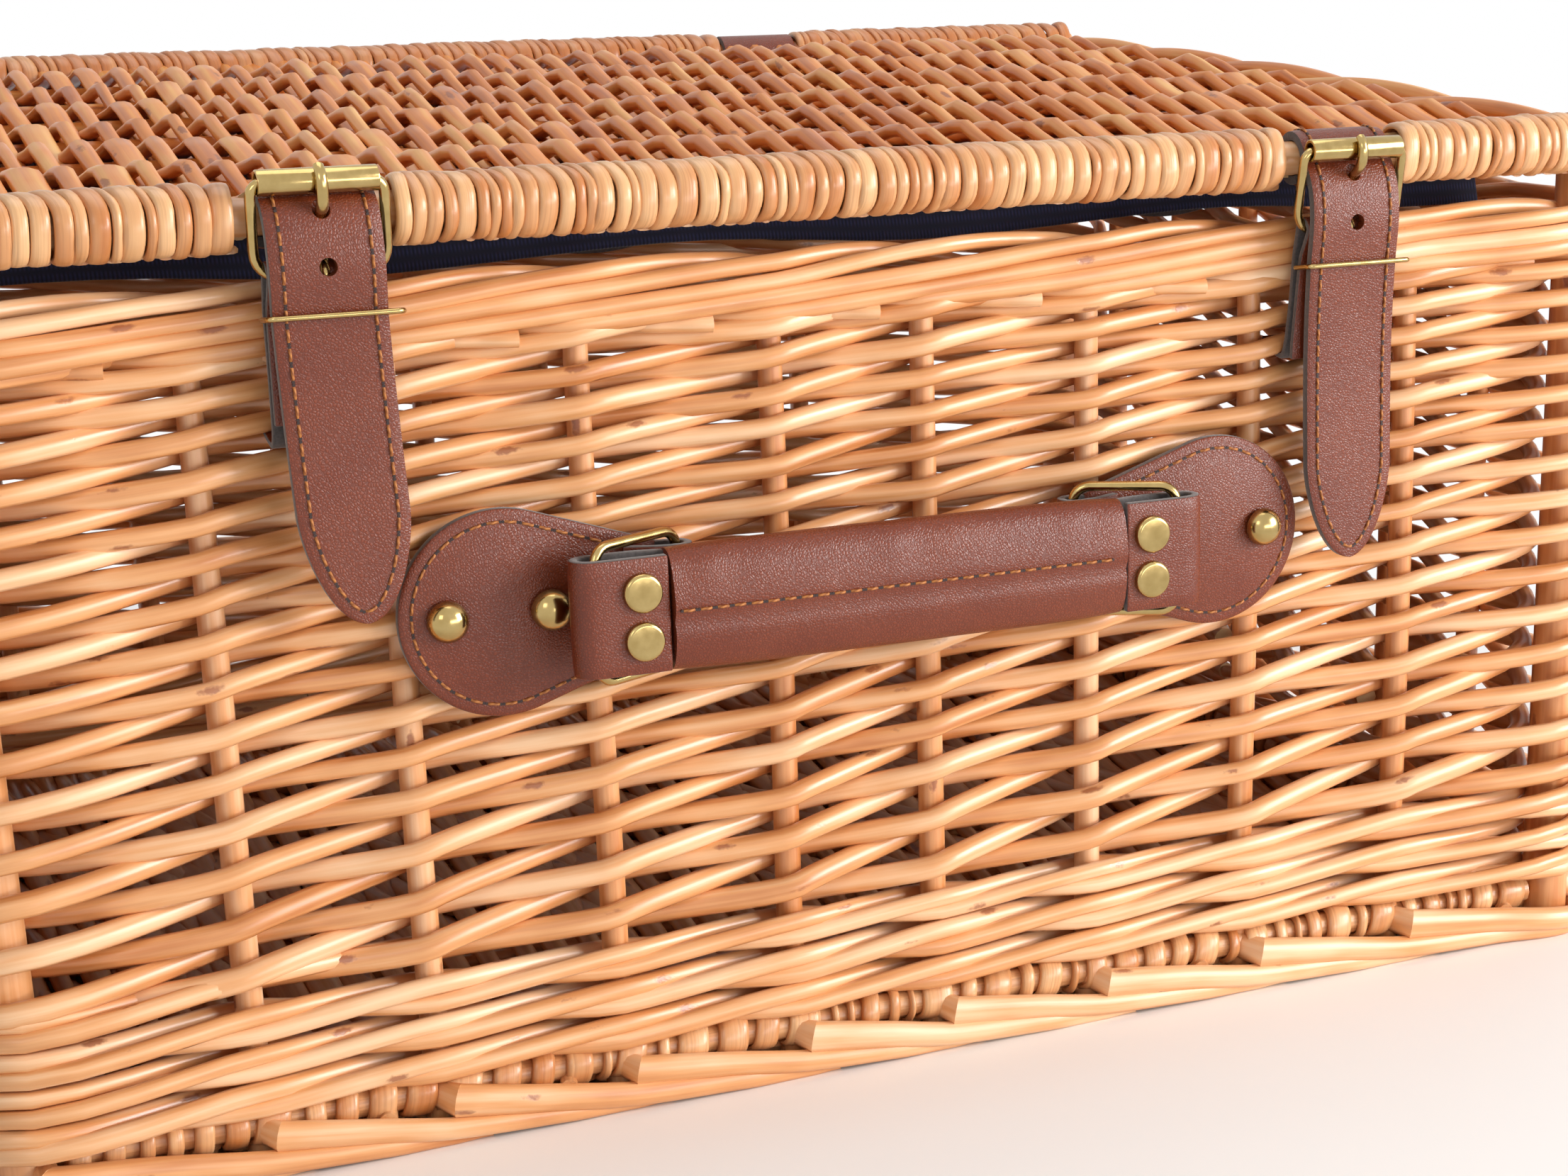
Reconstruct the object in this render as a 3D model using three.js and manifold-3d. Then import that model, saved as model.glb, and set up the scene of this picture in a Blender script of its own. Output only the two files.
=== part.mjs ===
// Wicker picnic hamper with a hinged lid, two buckled straps and a carrying handle.
// Units are millimetres, +Z is up and the front of the hamper faces -Y.
import * as THREE from 'three';
import { mergeVertices } from 'three/addons/utils/BufferGeometryUtils.js';
import Module from 'manifold-3d';

const wasm = await Module();
wasm.setup();

// Body: four corner posts, woven walls between them, and borders at foot and rim.
const POST_SPAN_X = 405;
const POST_SPAN_Y = 300;
const POST_DIAMETER = 13;
const GAP = 0.3;
const FOOT_HEIGHT = 14;
const WALE_HEIGHT = 31;
const WALE_ROUNDS = 3;
const WALL_HEIGHT = 140;
const WEAVE_ROWS = 7;
const LONG_BAY_COUNT = 9;
const SHORT_BAY_COUNT = 7;
const ROW_SWING = 0.44;
const ROW_BEND = 7;
const CORNER_HOLD = 10;
const RIM_HEIGHT = 16;
const FOOT_HALF = 11;
const WALE_HALF = 10;
const WALL_HALF = 8.4;
const RIM_HALF = 9;
const ROW_DEPTH = 3.4;
const ROW_STEPS = 4;
const CORNER_STEPS = 3;
const BASE_LIFT = 3;
const BASE_THICKNESS = 11;
const BASE_STICKS = 7;

// Lid: two long round sticks, wrapped in split willow, and a woven panel between them.
const ROLL_RADIUS = 7.5;
const STICK_RADIUS = 4;
const ROLL_RISE = 5.2;
const ROLL_OUTSIDE = 7.5;
const ROLL_OVERHANG = 5.5;
const STICK_END = 2;
const WRAP_PITCH = 9.5;
const WRAP_GROOVE = 0.9;
const WRAP_SIDES = 8;
const LID_GAP = 8.3;
const LID_THICKNESS = 10.3;
const LID_STICKS = 7;
const SIDE_RADIUS = 6;
const SIDE_DROP = 2;
const LINING_THICKNESS = 2.4;
const LINING_INSET = 15;
const LOOP_COUNT = 5;
const LOOP_PITCH = 50;
const LOOP_DROP = 9;
const LOOP_WIDTH = 18;
const LOOP_FROM_FRONT = 34;

// Leather straps, brass buckles and keepers at the front.
const LEATHER = 2.4;
const THIN_LEATHER = 1.5;
const STRAP_X = 124;
const STRAP_WIDTH = 24;
const STRAP_NOTCH = 33;
const WIRE = 3;
const THIN_WIRE = 1.3;
const HEEL_BELOW_ROLL = 14;
const HEEL_OUT = 5.9;
const BUCKLE_HEIGHT = 19.2;
const ROLLER_RADIUS = 2.7;
const ROLLER_LENGTH = 22.5;
const PRONG_WIRE = 2.4;
const PRONG_EYE = 3.1;
const PRONG_SLOT = 4.4;
const BAND_WIDTH = 20;
const BAND_THICKNESS = 4.4;
const KEEPER_BELOW_HEEL = 8.4;
const FOLD_LENGTH = 16.5;
const SLOT_BELOW_RIM = 31;
const SLOT_ROOM = 2.4;
const SPARE_ABOVE_HEEL = 2.1;
const HOLE_RADIUS = 1.9;
const TIP_LENGTH = 24;
const BUCKLE_LIFT = { left: 2.5, right: -2.5 };
const TONGUE_DROP = { left: 85.5, right: 97.5 };

// Leather hinge loops at the back; the lid's back stick turns inside them.
const HINGE_X = { left: -150, right: 97 };
const HINGE_WIDTH = 24;
const HINGE_SLOT_BELOW_RIM = 25;
const HINGE_TAIL = 14;
const HINGE_BEND = 5;
const HINGE_ROOM = 2;

// Handle: two riveted plates, two wire rings, a looped strap and a padded grip.
const HANDLE_BELOW_RIM = 75;
const PLATE_FROM_PIVOT = 40;
const PLATE_RADIUS = 23.5;
const PLATE_THICKNESS = 3.2;
const NECK_WIDTH = 25.4;
const RING_PIVOT_OUT = 12.7;
const RING_REACH = 25;
const RING_ANGLE = THREE.MathUtils.degToRad(25);
const RING_ROOM = 7.2;
const PLATE_RIVET_OFFSETS = { outer: 13, inner: -10.5 };
const DOME_RADIUS = 4.7;
const LOOP_LENGTH = 15.5;
const LOOP_SEAT = 3.94;
const HANDLE_HEIGHT = 26.4;
const HANDLE_LEAF = 2.4;
const HANDLE_LOOP_GAP = 4.2;
const CAP_FROM_GRIP = 7.1;
const CAP_RADIUS = 4.5;
const CAP_SPACING = 11;
const SHANK_RADIUS = 1.6;
const RIVET_SIDES = 10;
const GRIP_HALF = 56.4;
const GRIP_HEIGHT = 29;
const GRIP_THICKNESS = 12;

const FRONT = -POST_SPAN_Y / 2;
const BACK = POST_SPAN_Y / 2;
const SIDE = POST_SPAN_X / 2;
const FOOT_TOP = FOOT_HEIGHT;
const WALE_TOP = FOOT_TOP + WALE_HEIGHT;
const WALL_TOP = WALE_TOP + WALL_HEIGHT;
const RIM_TOP = WALL_TOP + RIM_HEIGHT;
const LID_BOTTOM = RIM_TOP + LID_GAP;
const ROLL_Z = LID_BOTTOM + ROLL_RISE;
const ROLL_HALF_LENGTH = SIDE + ROLL_OVERHANG;
const POST_TOP = ROLL_Z - SIDE_DROP - SIDE_RADIUS - GAP;
const HEEL_Z = ROLL_Z - HEEL_BELOW_ROLL;
const SLOT_Z = RIM_TOP - SLOT_BELOW_RIM;
const HINGE_SLOT_Z = RIM_TOP - HINGE_SLOT_BELOW_RIM;
const HANDLE_Z = RIM_TOP - HANDLE_BELOW_RIM;
const CAP_X = GRIP_HALF + CAP_FROM_GRIP;
const HANDLE_HALF = CAP_X + LOOP_LENGTH;
const RING_HEIGHT = HANDLE_HEIGHT + RING_ROOM;
const RING_PIVOT_X = HANDLE_HALF - HANDLE_LEAF - LOOP_SEAT - RING_REACH * Math.cos(RING_ANGLE);
const PLATE_X = RING_PIVOT_X + PLATE_FROM_PIVOT;
const PLATE_RIVETS = {
  outer: PLATE_X + PLATE_RIVET_OFFSETS.outer,
  inner: PLATE_X + PLATE_RIVET_OFFSETS.inner,
};
const CUT_REACH = 40;
const ROLL_FRONT = FRONT - ROLL_OUTSIDE;
const ROLL_BACK = BACK + ROLL_OUTSIDE;
const SIDES = { left: -1, right: 1 };

const willow = new THREE.MeshStandardMaterial({ color: 0xd9995e, roughness: 0.55, metalness: 0 });
const splitWillow = new THREE.MeshStandardMaterial({ color: 0xdfa266, roughness: 0.45, metalness: 0 });
const leather = new THREE.MeshStandardMaterial({ color: 0x6a3a2b, roughness: 0.5, metalness: 0 });
const brass = new THREE.MeshStandardMaterial({ color: 0xc9b171, roughness: 0.25, metalness: 1 });
const cloth = new THREE.MeshStandardMaterial({ color: 0x1b2040, roughness: 0.9, metalness: 0 });

// Turn a three.js geometry into a solid that can be joined and cut, and back again.
function solid(geometry) {
  geometry.deleteAttribute('normal');
  geometry.deleteAttribute('uv');
  const merged = mergeVertices(geometry, 1e-4);
  const vertProperties = Float32Array.from(merged.attributes.position.array);
  const triVerts = Uint32Array.from(merged.index.array);
  return new wasm.Manifold(new wasm.Mesh({ numProp: 3, vertProperties, triVerts }));
}

function shell(body) {
  const mesh = body.getMesh();
  const geometry = new THREE.BufferGeometry();
  geometry.setAttribute('position', new THREE.BufferAttribute(mesh.vertProperties, 3));
  geometry.setIndex(new THREE.BufferAttribute(mesh.triVerts, 1));
  geometry.computeVertexNormals();
  return geometry;
}

// Straight prisms along each axis, from a flat outline. The outline's two
// coordinates are (y, z) along X, (x, z) along Y and (x, y) along Z.
function prism(shape, depth, bevel = 0) {
  const settings = { depth: depth - 2 * bevel, steps: 1, curveSegments: 8, bevelEnabled: bevel > 0 };
  settings.bevelThickness = bevel;
  settings.bevelSize = bevel;
  settings.bevelOffset = -bevel;
  settings.bevelSegments = 1;
  const geometry = new THREE.ExtrudeGeometry(shape, settings);
  geometry.translate(0, 0, bevel);
  return geometry;
}

const axisX = new THREE.Vector3(1, 0, 0);
const axisY = new THREE.Vector3(0, 1, 0);
const axisZ = new THREE.Vector3(0, 0, 1);

function alongX(shape, from, to, bevel = 0) {
  const geometry = prism(shape, to - from, bevel);
  geometry.applyMatrix4(new THREE.Matrix4().makeBasis(axisY, axisZ, axisX));
  return geometry.translate(from, 0, 0);
}

function alongY(shape, from, to, bevel = 0) {
  const geometry = prism(shape, to - from, bevel);
  geometry.applyMatrix4(new THREE.Matrix4().makeBasis(axisX, axisZ, axisY.clone().negate()));
  return geometry.translate(0, to, 0);
}

function alongZ(shape, from, to, bevel = 0) {
  return prism(shape, to - from, bevel).translate(0, 0, from);
}

function outline(points) {
  return new THREE.Shape(points.map(([a, b]) => new THREE.Vector2(a, b)));
}

function box(x0, x1, y0, y1, z0, z1) {
  const geometry = new THREE.BoxGeometry(x1 - x0, y1 - y0, z1 - z0);
  return geometry.translate((x0 + x1) / 2, (y0 + y1) / 2, (z0 + z1) / 2);
}

// A round bar between two ends along one of the axes.
function bar(axis, radius, from, to, a, b, sides = 12) {
  const geometry = new THREE.CylinderGeometry(radius, radius, to - from, sides);
  const middle = (from + to) / 2;
  if (axis === 'x') geometry.rotateZ(Math.PI / 2).translate(middle, a, b);
  if (axis === 'y') geometry.translate(a, middle, b);
  if (axis === 'z') geometry.rotateX(Math.PI / 2).translate(a, b, middle);
  return geometry;
}

// A rounded rectangle about the origin, as outline points.
function roundedRectangle(halfA, halfB, radius, steps = CORNER_STEPS) {
  const points = [];
  for (let corner = 0; corner < 4; corner += 1) {
    const start = (corner * Math.PI) / 2;
    const a = (corner === 0 || corner === 3 ? 1 : -1) * (halfA - radius);
    const b = (corner < 2 ? 1 : -1) * (halfB - radius);
    for (let step = 0; step <= steps; step += 1) {
      const angle = start + (step * Math.PI) / (2 * steps);
      points.push([a + radius * Math.cos(angle), b + radius * Math.sin(angle)]);
    }
  }
  return points;
}

// A flat ring between two rounded rectangles.
function frameShape(halfA, halfB, radius, width, steps = CORNER_STEPS) {
  const shape = outline(roundedRectangle(halfA, halfB, radius, steps));
  const innerRadius = Math.max(radius - width, 0.4);
  const inner = roundedRectangle(halfA - width, halfB - width, innerRadius, steps);
  shape.holes.push(new THREE.Path(inner.map(([a, b]) => new THREE.Vector2(a, b))));
  return shape;
}

// A wire bent into a rounded rectangle, lying in the XY plane about the origin.
function wireLoop(width, height, radius, wire) {
  const shape = frameShape((width + wire) / 2, (height + wire) / 2, radius, wire, 2);
  return alongZ(shape, -wire / 2, wire / 2, wire * 0.29);
}

// A strap of even thickness that follows a smooth line through the given points.
function bandShape(points, thickness, count) {
  const line = new THREE.SplineCurve(points.map(([a, b]) => new THREE.Vector2(a, b)));
  const left = [];
  const right = [];
  for (let i = 0; i <= count; i += 1) {
    const at = line.getPoint(i / count);
    const along = line.getTangent(i / count);
    left.push([at.x - (along.y * thickness) / 2, at.y + (along.x * thickness) / 2]);
    right.unshift([at.x + (along.y * thickness) / 2, at.y - (along.x * thickness) / 2]);
  }
  const shape = outline([...left, ...right]);
  if (THREE.ShapeUtils.isClockWise(shape.getPoints())) return outline([...left, ...right].reverse());
  return shape;
}

// A leather eye round a bar, seen along the bar.
function eyeShape(a, b, inner, outer, steps = 16) {
  const circle = (radius) => Array.from({ length: steps }, (_, i) => {
    const angle = (2 * Math.PI * i) / steps;
    return [a + radius * Math.cos(angle), b + radius * Math.sin(angle)];
  });
  const shape = outline(circle(outer));
  shape.holes.push(new THREE.Path(circle(inner).map(([p, q]) => new THREE.Vector2(p, q))));
  return shape;
}

const hamper = new THREE.Group();

function add(name, geometry, material) {
  const mesh = new THREE.Mesh(geometry, material);
  mesh.name = name;
  hamper.add(mesh);
  return mesh;
}

// Corner posts. The lid's side borders rest just above their tops.
const posts = [];
for (const [sideName, sign] of Object.entries(SIDES)) {
  for (const [endName, y] of Object.entries({ front: FRONT, back: BACK })) {
    const x = sign * SIDE;
    add(`${endName}_${sideName}_post`, bar('z', POST_DIAMETER / 2, GAP, POST_TOP, x, y, 14), willow);
    posts.push(solid(bar('z', POST_DIAMETER / 2 + GAP, -1, POST_TOP + 1, x, y, 14)));
  }
}

function withoutPosts(body) {
  return posts.reduce((rest, post) => rest.subtract(post), body);
}

// A border that runs round all four sides, between two heights.
function border(half, bottom, top, bevel, steps = CORNER_STEPS) {
  const shape = frameShape(SIDE + half, BACK + half, half, 2 * half, steps);
  return solid(alongZ(shape, bottom, top, bevel));
}

// Foot border with a flat underside, then the rows of thick waling above it.
const footBevel = 2.5;
const footFlat = solid(box(-SIDE * 2, SIDE * 2, -BACK * 2, BACK * 2, 0, FOOT_TOP));
const foot = border(FOOT_HALF, -1, FOOT_TOP - GAP, footBevel).intersect(footFlat);
add('foot_border', shell(withoutPosts(foot)), willow);

const waleStep = (WALE_TOP - FOOT_TOP - GAP) / WALE_ROUNDS;
let wale = border(WALE_HALF, FOOT_TOP, FOOT_TOP + waleStep, 2, 2);
for (let round = 1; round < WALE_ROUNDS; round += 1) {
  const bottom = FOOT_TOP + round * waleStep - 1;
  wale = wale.add(border(WALE_HALF, bottom, bottom + waleStep + 1, 2, 2));
}

// A woven panel seen from its end: thick over each of its sticks and thin halfway between them.
function rowedProfile(first, last, near, far, low, high, rows) {
  const pitch = (last - first) / rows;
  const stops = Array.from({ length: rows * ROW_STEPS }, (_, i) => first + (pitch * i) / ROW_STEPS);
  const across = [near, ...stops.filter((at) => at > near + 1 && at < far - 1), far];
  const dip = (at) => ROW_DEPTH * (1 - Math.abs(Math.cos((Math.PI * (at - first)) / pitch)));
  const under = across.map((at) => [at, low + dip(at)]);
  const over = across.map((at) => [at, high - dip(at)]);
  return [...under, ...over.reverse()];
}

// Woven base on its long sticks.
const baseHalfX = SIDE - WALE_HALF - GAP;
const baseHalfY = BACK - FOOT_HALF - GAP;
const baseTop = BASE_LIFT + BASE_THICKNESS;
const baseRows = rowedProfile(FRONT, BACK, -baseHalfY, baseHalfY, BASE_LIFT, baseTop, BASE_STICKS);
add('base_panel', alongX(outline(baseRows), -baseHalfX + 1, baseHalfX - 1), willow);
add('lower_wale', shell(withoutPosts(wale)), willow);

// Walls woven round the uprights. A row stands for a few rods: it swings outside one upright and inside
// the next, and the row above it does the opposite. This is one row from above, outwards being positive.
function wovenRow(reach, span, gaps, side) {
  const swing = WALL_HALF * ROW_SWING;
  const hold = span / 2 - CORNER_HOLD;
  const outer = [[-reach, WALL_HALF], [-hold, WALL_HALF]];
  const inner = [[-reach, -WALL_HALF], [-hold, -WALL_HALF]];
  for (let i = 1; i < gaps; i += 1) {
    const middle = (i % 2 === 0 ? side : -side) * swing;
    for (const bend of [-ROW_BEND, ROW_BEND]) {
      const at = -span / 2 + (span * i) / gaps + bend;
      outer.push([at, middle + WALL_HALF - swing]);
      inner.push([at, middle - WALL_HALF + swing]);
    }
  }
  outer.push([hold, WALL_HALF], [reach, WALL_HALF]);
  inner.push([hold, -WALL_HALF], [reach, -WALL_HALF]);
  return [...inner, ...outer.reverse()];
}

// A whole wall of rows. place puts a point of the row, along the wall and outwards, in the frame.
function wovenWall(reach, span, gaps, place) {
  const rise = (WALL_TOP - GAP - WALE_TOP) / WEAVE_ROWS;
  const rows = [];
  for (let row = 0; row < WEAVE_ROWS; row += 1) {
    const shape = outline(wovenRow(reach, span, gaps, row % 2 === 0 ? 1 : -1).map(place));
    rows.push(solid(alongZ(shape, WALE_TOP + row * rise, WALE_TOP + (row + 1) * rise)));
  }
  return rows.reduce((wall, row) => wall.add(row));
}

// The front and back walls hold the posts, and the end walls run between them.
const wallEnd = SIDE + WALL_HALF;
const cornerRound = outline(roundedRectangle(wallEnd, BACK + WALL_HALF, WALL_HALF));
const roundedBody = solid(alongZ(cornerRound, 0, RIM_TOP));
const throughWall = WALL_HALF + 4;
const frontCuts = [];
for (const sign of Object.values(SIDES)) {
  const x = sign * STRAP_X;
  const slotTop = SLOT_Z + THIN_LEATHER / 2 + SLOT_ROOM;
  const slotBottom = SLOT_Z - THIN_LEATHER / 2 - SLOT_ROOM;
  const half = BAND_WIDTH / 2 + GAP;
  const slot = box(x - half, x + half, FRONT - throughWall, FRONT + throughWall, slotBottom, slotTop);
  frontCuts.push(solid(slot));
  for (const rivetX of Object.values(PLATE_RIVETS)) {
    const holeEnds = [FRONT - throughWall, FRONT + throughWall];
    const hole = bar('y', SHANK_RADIUS + GAP, ...holeEnds, sign * rivetX, HANDLE_Z, 10);
    frontCuts.push(solid(hole));
  }
}
const backCuts = Object.values(HINGE_X).map((x) => {
  const half = HINGE_WIDTH / 2 + GAP;
  const reach = THIN_LEATHER / 2 + SLOT_ROOM;
  const slotEnds = [HINGE_SLOT_Z - reach, HINGE_SLOT_Z + reach];
  return solid(box(x - half, x + half, BACK - throughWall, BACK + throughWall, ...slotEnds));
});
const cutAll = (body, cuts) => cuts.reduce((rest, cut) => rest.subtract(cut), body);
const frontWall = wovenWall(wallEnd, POST_SPAN_X, LONG_BAY_COUNT, ([along, out]) => [along, FRONT - out]);
const backWall = wovenWall(wallEnd, POST_SPAN_X, LONG_BAY_COUNT, ([along, out]) => [along, BACK + out]);
add('front_wall', shell(withoutPosts(cutAll(frontWall, frontCuts).intersect(roundedBody))), willow);
add('back_wall', shell(withoutPosts(cutAll(backWall, backCuts).intersect(roundedBody))), willow);
const endReach = BACK - WALL_HALF - GAP;
for (const [sideName, sign] of Object.entries(SIDES)) {
  const place = ([along, out]) => [sign * (SIDE + out), along];
  add(`${sideName}_wall`, shell(wovenWall(endReach, POST_SPAN_Y, SHORT_BAY_COUNT, place)), willow);
}

// Rim border at the top of the walls.
add('top_border', shell(withoutPosts(border(RIM_HALF, WALL_TOP, RIM_TOP, 3.5))), willow);

// Lid sticks and the split willow wound round them, left open where straps pass.
for (const [name, y] of Object.entries({ front: ROLL_FRONT, back: ROLL_BACK })) {
  const ends = ROLL_HALF_LENGTH + STICK_END;
  add(`lid_${name}_stick`, bar('x', STICK_RADIUS, -ends, ends, y, ROLL_Z, 12), willow);
}

function wrap(from, to, y, pitch) {
  const turns = Math.max(1, Math.round((to - from) / pitch));
  const inner = STICK_RADIUS + GAP;
  const points = [new THREE.Vector2(inner, from)];
  for (let turn = 0; turn < turns; turn += 1) {
    const at = from + ((to - from) * turn) / turns;
    points.push(new THREE.Vector2(ROLL_RADIUS - WRAP_GROOVE, at));
    points.push(new THREE.Vector2(ROLL_RADIUS, at + (to - from) / turns / 2));
  }
  points.push(new THREE.Vector2(ROLL_RADIUS - WRAP_GROOVE, to));
  points.push(new THREE.Vector2(inner, to));
  points.push(new THREE.Vector2(inner, from));
  const geometry = new THREE.LatheGeometry(points, WRAP_SIDES);
  return geometry.rotateZ(-Math.PI / 2).translate(0, y, ROLL_Z);
}

function wraps(name, y, gaps, width, pitch) {
  const stops = gaps.flatMap((x) => [x - width / 2, x + width / 2]);
  const edges = [-ROLL_HALF_LENGTH, ...stops, ROLL_HALF_LENGTH];
  const labels = ['left', 'middle', 'right'];
  labels.forEach((label, i) => {
    add(`lid_${name}_wrap_${label}`, wrap(edges[2 * i], edges[2 * i + 1], y, pitch), splitWillow);
  });
}

wraps('front', ROLL_FRONT, [-STRAP_X, STRAP_X], STRAP_NOTCH, WRAP_PITCH);
wraps('back', ROLL_BACK, [HINGE_X.left, HINGE_X.right], HINGE_WIDTH + HINGE_ROOM, WRAP_PITCH * 2);

// Lid panel over its sticks, a thick border down each side, and the cloth lining.
const lidFront = ROLL_FRONT + ROLL_RADIUS + GAP;
const lidBack = ROLL_BACK - ROLL_RADIUS - GAP;
const lidHalf = SIDE - SIDE_RADIUS - GAP;
const lidTop = LID_BOTTOM + LID_THICKNESS;
const lidRows = rowedProfile(ROLL_FRONT, ROLL_BACK, lidFront, lidBack, LID_BOTTOM, lidTop, LID_STICKS);
add('lid_panel', alongX(outline(lidRows), -lidHalf, lidHalf), willow);
for (const [sideName, sign] of Object.entries(SIDES)) {
  const rod = bar('y', SIDE_RADIUS, lidFront, lidBack, sign * SIDE, ROLL_Z - SIDE_DROP, 12);
  add(`lid_${sideName}_border`, rod, splitWillow);
}

const liningTop = LID_BOTTOM - GAP;
const liningBottom = liningTop - LINING_THICKNESS;
const liningHalfX = SIDE - LINING_INSET;
const liningHalfY = BACK - LINING_INSET;
const liningShape = outline(roundedRectangle(liningHalfX, liningHalfY, 8));
add('lid_lining', alongZ(liningShape, liningBottom, liningTop, 0.6), cloth);

// Retaining strap under the lining: a leather strip that rises and falls in loops.
const stripTop = liningBottom - GAP - THIN_LEATHER / 2;
const stripHalf = (LOOP_COUNT * LOOP_PITCH) / 2;
const stripPoints = [];
for (let i = 0; i <= LOOP_COUNT * 6; i += 1) {
  const wave = (1 - Math.cos((2 * Math.PI * i) / 6)) / 2;
  stripPoints.push([-stripHalf + (2 * stripHalf * i) / (LOOP_COUNT * 6), stripTop - LOOP_DROP * wave]);
}
const stripY = FRONT + LOOP_FROM_FRONT;
const strip = alongY(bandShape(stripPoints, THIN_LEATHER, LOOP_COUNT * 6), stripY, stripY + LOOP_WIDTH);
const stripRoom = box(-SIDE, SIDE, FRONT, BACK, liningBottom - GAP - LOOP_DROP * 2, liningBottom - GAP);
add('lining_strap', shell(solid(strip).intersect(solid(stripRoom))), leather);

// Leather hinge loops: an eye round the lid's back stick, and a tail through the wall.
const hingeInner = STICK_RADIUS + GAP;
const hingeOuter = hingeInner + LEATHER;
for (const [sideName, x] of Object.entries(HINGE_X)) {
  const from = x - HINGE_WIDTH / 2;
  const to = x + HINGE_WIDTH / 2;
  const eye = solid(alongX(eyeShape(ROLL_BACK, ROLL_Z, hingeInner, hingeOuter), from, to));
  const face = BACK + RIM_HALF + GAP + THIN_LEATHER / 2;
  const tailPoints = [
    [ROLL_BACK + (hingeInner + hingeOuter) / 2, ROLL_Z + 1],
    [face + THIN_LEATHER, RIM_TOP],
    [face + GAP, (RIM_TOP + HINGE_SLOT_Z + HINGE_BEND) / 2],
    [face + GAP, HINGE_SLOT_Z + HINGE_BEND],
    [face - HINGE_BEND * 0.44, HINGE_SLOT_Z + GAP],
    [face - HINGE_TAIL * 0.6, HINGE_SLOT_Z],
    [face - HINGE_TAIL, HINGE_SLOT_Z],
  ];
  const tail = solid(alongX(bandShape(tailPoints, THIN_LEATHER, 14), from, to));
  const bore = solid(bar('x', hingeInner, from - 1, to + 1, ROLL_BACK, ROLL_Z, 20));
  add(`hinge_loop_${sideName}`, shell(eye.add(tail).subtract(bore)), leather);
}

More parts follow.
